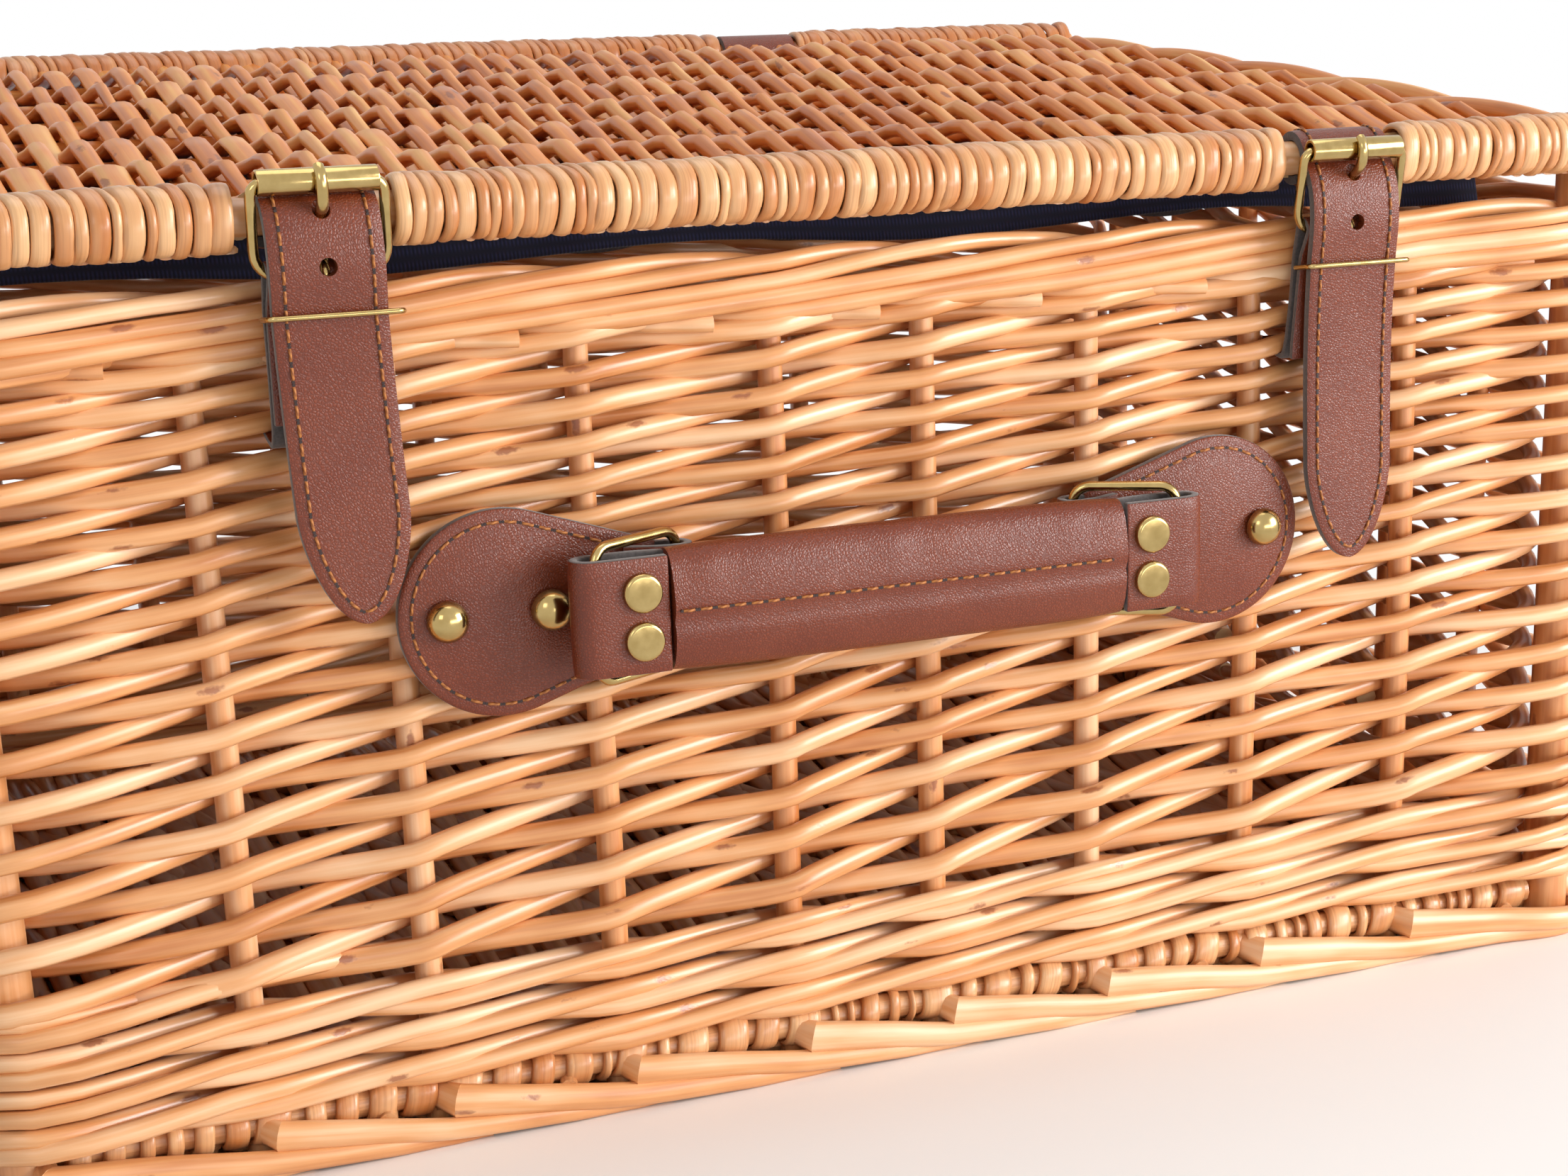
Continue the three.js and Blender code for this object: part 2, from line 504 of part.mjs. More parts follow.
// Front strap sets: tongue on the lid, buckle, roller, prong, buckle strap and keeper.
const wireHalf = WIRE / 2;
const eyeInner = wireHalf + GAP;
const buckleWidth = STRAP_WIDTH + 2 * GAP + WIRE;
const tongueInner = STICK_RADIUS + GAP;
const tongueOuter = tongueInner + LEATHER;
for (const [sideName, sign] of Object.entries(SIDES)) {
  const x = sign * STRAP_X;
  const lift = BUCKLE_LIFT[sideName];
  const heelY = ROLL_FRONT - HEEL_OUT;
  const heelZ = HEEL_Z + lift;
  const keeperZ = heelZ - KEEPER_BELOW_HEEL;
  const tipZ = ROLL_Z - TONGUE_DROP[sideName];
  const rollerRise = heelZ + BUCKLE_HEIGHT - ROLL_Z;
  const reach = tongueOuter + ROLLER_RADIUS + 2 * GAP;
  const rollerOut = Math.max(8, Math.sqrt(reach * reach - rollerRise * rollerRise));
  const rollerY = ROLL_FRONT - rollerOut;
  const rollerZ = ROLL_Z + rollerRise;
  const tilt = Math.atan2(heelY - rollerY, rollerZ - heelZ);
  const height = Math.hypot(rollerY - heelY, rollerZ - heelZ);

  // Buckle frame: one bent wire, its lower bar the heel and its upper bar the roller's axle.
  const frame = wireLoop(buckleWidth, height, WIRE * 1.3, WIRE);
  frame.translate(0, height / 2, 0).rotateX(Math.PI / 2 + tilt).translate(x, heelY, heelZ);
  add(`buckle_frame_${sideName}`, frame, brass);

  // Roller: a short tube that turns on the frame's upper bar.
  const rollerShape = eyeShape(rollerY, rollerZ, eyeInner, ROLLER_RADIUS, 14);
  const rollerFrom = x - ROLLER_LENGTH / 2;
  add(`buckle_roller_${sideName}`, alongX(rollerShape, rollerFrom, rollerFrom + ROLLER_LENGTH), brass);

  // Prong: an eye on the heel bar and a wire that lies over the roller.
  const rest = ROLLER_RADIUS + GAP + PRONG_WIRE / 2;
  const up = new THREE.Vector2(-Math.sin(tilt), Math.cos(tilt));
  const out = new THREE.Vector2(-Math.cos(tilt), -Math.sin(tilt));
  const start = new THREE.Vector2(heelY, heelZ).addScaledVector(up, 2.2).addScaledVector(out, 0.8);
  const roller = new THREE.Vector2(rollerY, rollerZ);
  const hook = roller.clone().addScaledVector(out, rest * 0.8).addScaledVector(up, rest * 0.66);
  const over = roller.clone().addScaledVector(out, rest);
  const waypoints = [start, start.clone().lerp(over, 0.5), over, hook];
  const prongPath = new THREE.CatmullRomCurve3(waypoints.map((p) => new THREE.Vector3(x, p.x, p.y)));
  const round = (radius) => {
    const shape = new THREE.Shape();
    shape.absarc(0, 0, radius, 0, 2 * Math.PI);
    return shape;
  };
  const along = { steps: 9, curveSegments: 5, extrudePath: prongPath };
  const shaft = solid(new THREE.ExtrudeGeometry(round(PRONG_WIRE / 2), along));
  const prongEye = alongX(eyeShape(heelY, heelZ, eyeInner, PRONG_EYE, 12), x - 1.5, x + 1.5);
  const heelBore = solid(bar('x', eyeInner, x - 4, x + 4, heelY, heelZ, 12));
  add(`buckle_prong_${sideName}`, shell(solid(prongEye).add(shaft).subtract(heelBore)), brass);

  // Tongue: an eye round the lid's front stick, then a tail to a rounded point.
  const heelFront = HEEL_OUT + eyeInner + THIN_LEATHER + GAP + LEATHER / 2;
  const tongueMiddle = (tongueInner + tongueOuter) / 2;
  const tailLine = [
    [ROLL_FRONT - tongueMiddle, ROLL_Z + 1.5],
    [ROLL_FRONT - tongueMiddle - 1.2, ROLL_Z - 4],
    [ROLL_FRONT - heelFront - 0.1, heelZ + 1],
    [ROLL_FRONT - heelFront + 1.2, keeperZ],
    [ROLL_FRONT - heelFront + 3.6, keeperZ - FOLD_LENGTH],
    [ROLL_FRONT - heelFront + 4.6, (keeperZ - lift + tipZ) / 2],
    [ROLL_FRONT - heelFront + 4.8, tipZ],
  ];
  const half = STRAP_WIDTH / 2;
  const eyeRing = eyeShape(ROLL_FRONT, ROLL_Z, tongueInner, tongueOuter);
  const tongueEye = solid(alongX(eyeRing, x - half, x + half));
  const tail = solid(alongX(bandShape(tailLine, LEATHER, 16), x - half, x + half));
  const tipSide = [];
  for (let i = 0; i <= 6; i += 1) {
    const t = i / 6;
    tipSide.push([half * Math.sqrt(1 - Math.pow(1 - t, 1.7)) * (1 - 0.04 * (1 - t)), tipZ + TIP_LENGTH * t]);
  }
  const top = ROLL_Z + CUT_REACH;
  const right = tipSide.map(([a, b]) => [x + a, b]);
  const left = tipSide.slice(1).reverse().map(([a, b]) => [x - a, b]);
  const tipOutline = outline([...right, [x + half, top], [x - half, top], ...left]);
  const tipCutter = solid(alongY(tipOutline, ROLL_FRONT - CUT_REACH, ROLL_FRONT + CUT_REACH));
  const stickBore = solid(bar('x', tongueInner, x - half - 1, x + half + 1, ROLL_FRONT, ROLL_Z, 20));
  const prongRoom = solid(new THREE.ExtrudeGeometry(round(PRONG_WIRE / 2 + GAP), along));
  const spareZ = heelZ + SPARE_ABOVE_HEEL;
  const spareHole = solid(bar('y', HOLE_RADIUS, ROLL_FRONT - CUT_REACH, heelY, x, spareZ, 12));
  const tongue = tongueEye.add(tail).intersect(tipCutter).subtract(stickBore);
  add(`tongue_${sideName}`, shell(tongue.subtract(prongRoom).subtract(spareHole)), leather);

  // Buckle strap: folded round the heel bar, then down and through the wall.
  const bandOuter = eyeInner + THIN_LEATHER;
  const bandFrom = x - BAND_WIDTH / 2;
  const bandTo = x + BAND_WIDTH / 2;
  const bandMiddle = FRONT - RIM_HALF - GAP - BAND_THICKNESS / 2;
  const fold = solid(alongX(eyeShape(heelY, heelZ, eyeInner, bandOuter), bandFrom, bandTo));
  const bandLow = heelZ - FOLD_LENGTH;
  const doubled = [
    [bandMiddle - BAND_THICKNESS / 2, bandLow],
    [bandMiddle + BAND_THICKNESS / 2, bandLow],
    [heelY + bandOuter - 0.1, heelZ - 0.5],
    [heelY - bandOuter + 0.1, heelZ - 0.5],
  ];
  const leaves = solid(alongX(outline(doubled), bandFrom, bandTo));
  const backLeaf = FRONT - RIM_HALF - GAP - THIN_LEATHER / 2;
  const leafLine = [
    [backLeaf, bandLow + 4],
    [backLeaf, SLOT_Z + 5],
    [backLeaf + 2.2, SLOT_Z + 0.6],
    [backLeaf + 7, SLOT_Z],
    [backLeaf + 14, SLOT_Z],
  ];
  const leaf = solid(alongX(bandShape(leafLine, THIN_LEATHER, 12), bandFrom, bandTo));
  const bandBore = solid(bar('x', eyeInner, bandFrom - 1, bandTo + 1, heelY, heelZ, 20));
  const slotHalf = PRONG_SLOT / 2;
  const slot = solid(box(x - slotHalf, x + slotHalf, heelY - 8, heelY + 8, heelZ - 4.2, heelZ + 8));
  const channelReach = THIN_WIRE / 2 + GAP;
  const channelY = bandMiddle;
  const channel = solid(box(bandFrom - 1, bandTo + 1, channelY - channelReach, channelY + channelReach,
    keeperZ - channelReach, keeperZ + channelReach));
  const band = fold.add(leaves).add(leaf).subtract(bandBore).subtract(slot).subtract(channel);
  add(`buckle_strap_${sideName}`, shell(band), leather);

  // Keeper: a thin wire loop held in the fold, round the tongue.
  const keeperFront = ROLL_FRONT - heelFront + 1.2 - LEATHER / 2 - GAP - 0.5 - THIN_WIRE / 2;
  const keeperDepth = channelY - keeperFront;
  const keeper = wireLoop(STRAP_WIDTH + 2 * GAP + THIN_WIRE + 0.6, keeperDepth, THIN_WIRE * 1.2, THIN_WIRE);
  add(`keeper_${sideName}`, keeper.translate(x, channelY - keeperDepth / 2, keeperZ), brass);
}

// Handle plates: a round leaf that narrows to a neck folded round the ring's inner bar.
const plateBack = FRONT - WALL_HALF - GAP;
const ringY = FRONT - RING_PIVOT_OUT;
const ringEyeInner = wireHalf + GAP;
const ringEyeOuter = ringEyeInner + LEATHER - 0.4;
for (const [sideName, sign] of Object.entries(SIDES)) {
  const neck = NECK_WIDTH / 2;
  const points = [];
  const steps = 14;
  for (let i = 0; i <= steps; i += 1) {
    const angle = THREE.MathUtils.degToRad(-118 + (236 * i) / steps);
    points.push([PLATE_X + PLATE_RADIUS * Math.cos(angle), HANDLE_Z + PLATE_RADIUS * Math.sin(angle)]);
  }
  points.push([RING_PIVOT_X + 8, HANDLE_Z + neck + 1.5]);
  points.push([RING_PIVOT_X, HANDLE_Z + neck]);
  points.push([RING_PIVOT_X, HANDLE_Z - neck]);
  points.push([RING_PIVOT_X + 8, HANDLE_Z - neck - 1.5]);
  const mirrored = sign > 0 ? points : points.map(([a, b]) => [-a, b]).reverse();
  const leafBody = solid(alongY(outline(mirrored), plateBack - PLATE_THICKNESS, plateBack, 0.5));
  const pivotX = sign * RING_PIVOT_X;
  const low = HANDLE_Z - neck + 0.2;
  const high = HANDLE_Z + neck - 0.2;
  const fold = solid(alongZ(eyeShape(pivotX, ringY, ringEyeInner, ringEyeOuter, 18), low, high));
  const shoulder = [
    [pivotX, ringY - ringEyeOuter],
    [pivotX + sign * 9, plateBack - PLATE_THICKNESS + 0.4],
    [pivotX + sign * 9, plateBack],
    [pivotX, plateBack],
  ];
  const ramp = solid(alongZ(outline(sign > 0 ? shoulder.reverse() : shoulder), low, high));
  const bore = solid(bar('z', ringEyeInner, low - 4, high + 4, pivotX, ringY, 18));
  const wallSide = box(-SIDE, SIDE, plateBack, plateBack + CUT_REACH, low - 9, high + 9);
  let plate = leafBody.add(fold).add(ramp).subtract(bore).subtract(solid(wallSide));
  for (const rivetX of Object.values(PLATE_RIVETS)) {
    const hole = bar('y', SHANK_RADIUS + GAP, plateBack - 9, plateBack + 9, sign * rivetX, HANDLE_Z, 10);
    plate = plate.subtract(solid(hole));
  }
  add(`handle_plate_${sideName}`, shell(plate), leather);

  // Domed rivets through plate and wall, each closed over a washer inside the hamper.
  for (const [placeName, rivetX] of Object.entries(PLATE_RIVETS)) {
    const face = plateBack - PLATE_THICKNESS - GAP;
    const inside = FRONT + WALL_HALF + GAP;
    const length = inside - face;
    const profile = [new THREE.Vector2(0, DOME_RADIUS * 0.8)];
    for (let i = 1; i <= 4; i += 1) {
      const angle = (Math.PI * i) / 8;
      profile.push(new THREE.Vector2(DOME_RADIUS * Math.sin(angle), DOME_RADIUS * 0.8 * Math.cos(angle)));
    }
    profile.push(new THREE.Vector2(SHANK_RADIUS, 0));
    profile.push(new THREE.Vector2(SHANK_RADIUS, -length));
    profile.push(new THREE.Vector2(DOME_RADIUS, -length));
    profile.push(new THREE.Vector2(DOME_RADIUS, -length - 1.2));
    profile.push(new THREE.Vector2(0, -length - 1.2));
    const rivet = new THREE.LatheGeometry(profile.reverse(), RIVET_SIDES).rotateX(Math.PI);
    add(`dome_rivet_${sideName}_${placeName}`, rivet.translate(sign * rivetX, face, HANDLE_Z), brass);
  }
}

// Rings: each hangs in its plate and stands out at a slant to the handle's loop.
for (const [sideName, sign] of Object.entries(SIDES)) {
  const ring = wireLoop(RING_REACH, RING_HEIGHT - WIRE, WIRE, WIRE);
  ring.translate(RING_REACH / 2, 0, 0).rotateX(Math.PI / 2);
  ring.rotateZ(sign > 0 ? -RING_ANGLE : Math.PI + RING_ANGLE);
  add(`ring_${sideName}`, ring.translate(sign * RING_PIVOT_X, ringY, HANDLE_Z), brass);
}

// Handle strap: one strip of leather folded back at both ends to make the loops.
const handleY = ringY - RING_REACH * Math.sin(RING_ANGLE);
const loopHalf = HANDLE_LOOP_GAP / 2 + HANDLE_LEAF;
const loopRows = roundedRectangle(HANDLE_HALF, loopHalf, loopHalf - 0.05, 5);
const loopBody = outline(loopRows);
const roomEnd = CAP_X - SHANK_RADIUS - 2;
const gapHalf = HANDLE_LOOP_GAP / 2;
const innerGap = roundedRectangle(HANDLE_HALF - HANDLE_LEAF, gapHalf, gapHalf - 0.05, 4);
loopBody.holes.push(new THREE.Path(innerGap.map(([a, b]) => new THREE.Vector2(a, b))));
const stripLow = HANDLE_Z - HANDLE_HEIGHT / 2;
const stripHigh = HANDLE_Z + HANDLE_HEIGHT / 2;
const gripEnd = GRIP_HALF + GAP;
const waistHalf = HANDLE_HEIGHT / 2 - HANDLE_LEAF - GAP;
const middle = box(-gripEnd, gripEnd, -loopHalf - 1, loopHalf + 1, stripLow - 1, stripHigh + 1);
const coreHalf = gripEnd + 1;
const waist = [HANDLE_Z - waistHalf, HANDLE_Z + waistHalf];
const core = box(-coreHalf, coreHalf, -HANDLE_LEAF, HANDLE_LEAF, ...waist);
let handleStrap = solid(alongZ(loopBody, stripLow, stripHigh)).subtract(solid(middle));
for (const sign of Object.values(SIDES)) {
  const ends = [sign * gripEnd, sign * roomEnd].sort((a, b) => a - b);
  handleStrap = handleStrap.add(solid(box(ends[0], ends[1], -loopHalf, loopHalf, stripLow, stripHigh)));
}
handleStrap = handleStrap.add(solid(core)).translate([0, handleY, 0]);
const caps = [];
for (const [sideName, sign] of Object.entries(SIDES)) {
  for (const [rowName, rise] of Object.entries({ upper: CAP_SPACING / 2, lower: -CAP_SPACING / 2 })) {
    const x = sign * CAP_X;
    const z = HANDLE_Z + rise;
    const hole = bar('y', SHANK_RADIUS + GAP, handleY - 9, handleY + 9, x, z, 10);
    handleStrap = handleStrap.subtract(solid(hole));
    caps.push({ name: `cap_rivet_${sideName}_${rowName}`, x, z });
  }
}
add('handle_strap', shell(handleStrap), leather);

// Flat-capped rivets that close the handle's loops, with a cap on both faces.
for (const { name, x, z } of caps) {
  const face = loopHalf + GAP;
  const profile = [
    [0, face + 1.3],
    [CAP_RADIUS - 1, face + 1.2],
    [CAP_RADIUS, face + 0.5],
    [CAP_RADIUS, face],
    [SHANK_RADIUS, face],
    [SHANK_RADIUS, -face],
    [CAP_RADIUS - 1, -face],
    [CAP_RADIUS - 1, -face - 0.8],
    [0, -face - 0.8],
  ].map(([a, b]) => new THREE.Vector2(a, b));
  const rivet = new THREE.LatheGeometry(profile.reverse(), RIVET_SIDES).rotateX(Math.PI);
  add(name, rivet.translate(x, handleY, z), brass);
}

// Padded grip: a rounded sleeve closed round the narrow middle of the strap.
const gripHalf = GRIP_THICKNESS / 2;
const gripOuter = outline(roundedRectangle(gripHalf, GRIP_HEIGHT / 2, gripHalf - 0.5, 4));
const gripBore = roundedRectangle(HANDLE_LEAF + GAP, HANDLE_HEIGHT / 2 - HANDLE_LEAF, 0.5, 1);
gripOuter.holes.push(new THREE.Path(gripBore.map(([a, b]) => new THREE.Vector2(a, b))));
const grip = alongX(gripOuter, -GRIP_HALF, GRIP_HALF);
add('handle_grip', grip.translate(0, handleY, HANDLE_Z), leather);

// The frame's origin lies on the floor, under the middle of the whole object.
const bounds = new THREE.Box3().setFromObject(hamper);
hamper.position.y = -(bounds.min.y + bounds.max.y) / 2;

export default hamper;
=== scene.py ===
import math
from functools import partial
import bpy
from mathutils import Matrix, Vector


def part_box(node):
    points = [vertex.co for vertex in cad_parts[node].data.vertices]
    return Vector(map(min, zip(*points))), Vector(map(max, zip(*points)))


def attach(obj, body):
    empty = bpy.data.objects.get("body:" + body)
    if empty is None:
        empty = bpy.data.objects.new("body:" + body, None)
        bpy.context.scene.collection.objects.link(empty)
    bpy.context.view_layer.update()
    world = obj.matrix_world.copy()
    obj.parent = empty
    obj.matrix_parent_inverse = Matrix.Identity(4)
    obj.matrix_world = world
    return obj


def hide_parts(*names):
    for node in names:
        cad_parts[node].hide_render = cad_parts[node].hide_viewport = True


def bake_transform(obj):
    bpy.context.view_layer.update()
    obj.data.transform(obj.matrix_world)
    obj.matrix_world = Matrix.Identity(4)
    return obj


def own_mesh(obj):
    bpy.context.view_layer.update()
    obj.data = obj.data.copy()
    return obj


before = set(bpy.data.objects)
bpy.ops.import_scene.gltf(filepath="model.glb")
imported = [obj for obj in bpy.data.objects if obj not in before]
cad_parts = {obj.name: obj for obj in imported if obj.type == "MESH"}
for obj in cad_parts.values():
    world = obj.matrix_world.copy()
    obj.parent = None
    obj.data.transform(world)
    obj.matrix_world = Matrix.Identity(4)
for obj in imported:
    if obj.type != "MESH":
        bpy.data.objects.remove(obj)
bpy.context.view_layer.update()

from types import SimpleNamespace
import bpy
import numpy as np
from mathutils import Vector

# Uprights. Four thick corner posts and twenty-eight thinner stakes stand round the base and carry the walls.
# They are buff willow: rods boiled in their bark and then peeled, so they are honey brown with a soft polish.
# The stakes are driven down into the base and are cut off under the rim border.
MM = 0.001
chance = np.random.default_rng(11)


def linear(colour):
    """An sRGB hex colour as linear red, green, blue and alpha."""
    parts = [int(colour[i:i + 2], 16) / 255 for i in (1, 3, 5)]
    return [c / 12.92 if c <= 0.04045 else ((c + 0.055) / 1.055) ** 2.4 for c in parts] + [1]


def add_node(tree, kind, inputs=(), output=0, **settings):
    """Adds a shader node with its settings and returns one of its outputs. Inputs are in the node's order
    or by name, each a value, a hex colour or another node's output."""
    node = tree.nodes.new("ShaderNode" + kind)
    for name, value in settings.items():
        setattr(node, name, value)
    for socket, value in inputs.items() if isinstance(inputs, dict) else enumerate(inputs):
        if isinstance(value, bpy.types.NodeSocket):
            tree.links.new(value, node.inputs[socket])
        else:
            node.inputs[socket].default_value = linear(value) if isinstance(value, str) else value
    return node.outputs[output] if len(node.outputs) else None


def new_material(name):
    """A new material with an empty tree, and add_node for that tree."""
    material = bpy.data.materials.new(name)
    material.use_nodes = True
    material.node_tree.nodes.clear()
    return material, partial(add_node, material.node_tree)


def peeled_willow(name, shade, middle, pale, scar, index):
    """Buff willow: light streaks along the rod, blotches, and red-brown leaf scars here and there."""
    material, add = new_material(name)
    place = add("Attribute", output="Vector", attribute_name="rod")
    tone = add("Attribute", output="Fac", attribute_name="tone")
    cut = add("Attribute", output="Fac", attribute_name="cut")
    # Streaks are about 60 mm long and 2 mm wide, blotches about 25 mm long.
    stretched = add("VectorMath", [place, (1 / 60, 1 / 2, 1 / 2)], operation="MULTIPLY")
    streak = add("TexNoise", {"Vector": stretched, "Scale": 1, "Detail": 4})
    wide = add("VectorMath", [place, (1 / 25, 1 / 7, 1 / 7)], operation="MULTIPLY")
    blotch = add("TexNoise", {"Vector": wide, "Scale": 1, "Detail": 2})
    spread = add("MapRange", [streak, 0.3, 0.7, -0.25, 0.3])
    patchy = add("MapRange", [blotch, 0.3, 0.7, -0.2, 0.2])
    tinted = add("Math", [tone, spread], operation="ADD")
    level = add("Math", [tinted, patchy], operation="ADD", use_clamp=True)
    low = add("MapRange", [level, 0, 0.5])
    high = add("MapRange", [level, 0.5, 1])
    wood = add("Mix", {0: low, 6: shade, 7: middle}, 2, data_type="RGBA")
    wood = add("Mix", {0: high, 6: wood, 7: pale}, 2, data_type="RGBA")
    # A leaf scar is about 4 mm long and 1.5 mm wide, with a ragged edge.
    scattered = add("VectorMath", [place, (1 / 24, 1 / 8, 1 / 8)], operation="MULTIPLY")
    ragged = add("TexNoise", {"Vector": place, "Scale": 1 / 1.4, "Detail": 2}, "Color")
    scattered = add("VectorMath", [ragged, (0.14, 0.14, 0.14), scattered], operation="MULTIPLY_ADD")
    spots = add("TexVoronoi", {"Vector": scattered, "Scale": 1}, "Distance")
    scarred = add("MapRange", [spots, 0.14, 0.08, 0, 0.75])
    wood = add("Mix", {0: scarred, 6: wood, 7: scar}, 2, data_type="RGBA")
    wood = add("Mix", {0: cut, 6: wood, 7: "#D9B484"}, 2, data_type="RGBA")
    gloss = add("MapRange", [streak, 0.3, 0.7, 0.3, 0.46])
    height = add("Math", [streak, scarred], operation="SUBTRACT")
    bump = add("Bump", {"Height": height, "Strength": 0.4, "Distance": 0.25 * MM})
    shader = add("BsdfPrincipled", {"Base Color": wood, "Roughness": gloss, "Normal": bump, "IOR": index})
    add("OutputMaterial", [shader])
    return material


def new_bundle():
    """An empty bundle of rods, which becomes one object."""
    return {"points": [], "faces": [], "rod": [], "tone": [], "cut": [], "count": 0}


def unit(vectors):
    """The vectors at length one."""
    return vectors / np.linalg.norm(vectors, axis=-1, keepdims=True)


def oval(wide, flat, sides):
    """A rod's outline, in radii across and upward."""
    angle = 2 * math.pi * np.arange(sides) / sides
    return np.stack([wide * np.cos(angle), flat * np.sin(angle)], 1)


def run_length(path):
    """How far along a path each of its points lies."""
    return np.concatenate([[0], np.cumsum(np.linalg.norm(np.diff(path, axis=0), axis=1))])


def grow(bundle, path, radius, tone, upward=(0, 0, 1), section=oval(1, 1, 10), closed=False, mitre=()):
    """Adds a rod along path to a bundle. section is its outline, in radii across and upward. mitre holds
    (0 or -1, normal): the first or last ring lies in that plane, as at a kink or a slanted cut."""
    path = np.asarray(path, float)
    count, sides = len(path), len(section)
    radius = np.broadcast_to(radius, count)[:, None, None]
    along = unit(np.roll(path, -1, 0) - np.roll(path, 1, 0) if closed else np.gradient(path, axis=0))
    upward = np.broadcast_to(np.asarray(upward, float), path.shape)
    up = unit(upward - along * np.sum(upward * along, 1, keepdims=True))
    across = np.cross(along, up)
    outline = section[:, 0, None] * across[:, None] + section[:, 1, None] * up[:, None]
    rings = path[:, None] + radius * outline
    for end, normal in mitre:
        slide = (path[end] - rings[end]) @ normal / (along[end] @ normal)
        rings[end] += slide[:, None] * along[end]
    # Each rod starts at a place of its own in the grain.
    grain_start = tone * 7919
    place = np.empty(rings.shape)
    place[..., 0] = (run_length(path) / MM + grain_start)[:, None]
    place[..., 1:] = section * radius / MM
    first = bundle["count"]
    for i in range(count if closed else count - 1):
        here, there = first + i * sides, first + (i + 1) % count * sides
        for k in range(sides):
            after = (k + 1) % sides
            bundle["faces"].append((here + k, there + k, there + after, here + after))
    points, rod, cut = [rings.reshape(-1, 3)], [place.reshape(-1, 3)], [np.zeros(count * sides)]
    if not closed:
        last = first + count * sides
        bundle["faces"].append(tuple(range(last, last + sides)))
        bundle["faces"].append(tuple(range(last + 2 * sides - 1, last + sides - 1, -1)))
        points += [rings[0], rings[-1]]
        rod += [place[0], place[-1]]
        cut += [np.ones(2 * sides)]
    total = sum(len(part) for part in points)
    for kind, parts in (("points", points), ("rod", rod), ("cut", cut), ("tone", [np.full(total, tone)])):
        bundle[kind] += parts
    bundle["count"] += total


def settle(piece, materials, body, replaces=()):
    """Gives a finished piece its materials, the body it rides on and the nodes that it stands for.
    A piece without a body is not attached to any."""
    for material in materials:
        piece.data.materials.append(material)
    if body:
        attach(piece, body)
    if replaces:
        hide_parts(*replaces)
    return piece


def new_piece(name, points, faces):
    """A new mesh object at the origin."""
    mesh = bpy.data.meshes.new(name)
    mesh.from_pydata(points, [], faces)
    piece = bpy.data.objects.new(name, mesh)
    bpy.context.scene.collection.objects.link(piece)
    return piece


def add_rods(name, bundle, material, body, replaces=()):
    """Adds a bundle as one piece. Attributes hold the place on each rod, its tone and its cut ends."""
    piece = new_piece(name, np.concatenate(bundle["points"]).tolist(), bundle["faces"])
    mesh = piece.data
    for kind, form, field in (("rod", "FLOAT_VECTOR", "vector"), ("tone", "FLOAT", "value"),
                              ("cut", "FLOAT", "value")):
        values = mesh.attributes.new(kind, form, "POINT").data
        values.foreach_set(field, np.concatenate(bundle[kind]).ravel())
    mesh.polygons.foreach_set("use_smooth", [True] * len(mesh.polygons))
    return settle(piece, [material], body, replaces)


def solid(node):
    """Where a CAD node is: its lowest and highest corners, its middle and half its size."""
    low, high = np.array(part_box(node))
    return SimpleNamespace(low=low, high=high, middle=(low + high) / 2, half=(high - low) / 2)


post = solid("front_right_post")
corner_x, front_y = post.middle[:2]
back_y = solid("back_right_post").middle[1]
post_radius, stake_radius = post.half[0], 3.2 * MM
border = solid("top_border")
rim_low = border.low[2]
long_stakes = np.array([51.5, 92.5, 136.5, 181.5, 219.5, 262.5, 307.5, 353.5]) * MM
short_stakes = np.linspace(0, back_y - front_y, 8)[1:-1]
# Each wall: the corner where it starts, the way it runs, the way it faces, and its stakes from that corner.
walls = [
    ((-corner_x, front_y), (1, 0), (0, -1), long_stakes),
    ((corner_x, front_y), (0, 1), (1, 0), short_stakes),
    ((corner_x, back_y), (-1, 0), (0, 1), 2 * corner_x - long_stakes[::-1]),
    ((-corner_x, back_y), (0, -1), (-1, 0), short_stakes),
]
spots = []
for number, (start, run, face, stakes) in enumerate(walls):
    before = walls[number - 1]
    spots.append((start, unit(np.add(before[2], face)), unit(np.add(before[1], run)), post_radius, number))
    for distance in stakes:
        spots.append((np.add(start, np.multiply(run, distance)), face, run, stake_radius, number))
stand, outward, heading, thick, wall_of = (np.array(column) for column in zip(*spots))
uprights = len(stand)
corner = thick == post_radius

willow = peeled_willow("buff_willow_polished", "#C57A40", "#E3A268", "#F2C497", "#8B4423", index=1.72)
posts, stakes = new_bundle(), new_bundle()
for number in range(uprights):
    if corner[number]:
        bundle, low, high, taper, sides = posts, post.low[2], post.high[2], (1.0, 0.95), 16
    else:
        bundle, low, high, taper, sides = stakes, 2 * MM, rim_low + 3 * MM, (1.06, 0.9), 10
    height = np.linspace(low, high, 24)
    # A rod is never quite straight.
    sway = chance.normal(0, 0.3 * MM, 2)
    path = np.column_stack([stand[number] + np.sin(height[:, None] * 30 + number) * sway, height])
    radius = thick[number] * np.linspace(*taper, len(height))
    grow(bundle, path, radius, chance.uniform(0.15, 0.75), (0, 1, 0), oval(1, 1, sides))
add_rods("corner_posts", posts, willow, "basket",
         ["front_left_post", "front_right_post", "back_left_post", "back_right_post"])
add_rods("wall_stakes", stakes, willow, "basket")

# Wall weave. Thirty-two rods climb the walls side by side, one starting behind each upright.
# Each passes outside one upright and inside the next, all the way up, and gets thinner towards its tip.
# The rods are woven damp, so each keeps a sharp bend at every upright and runs straight between them.


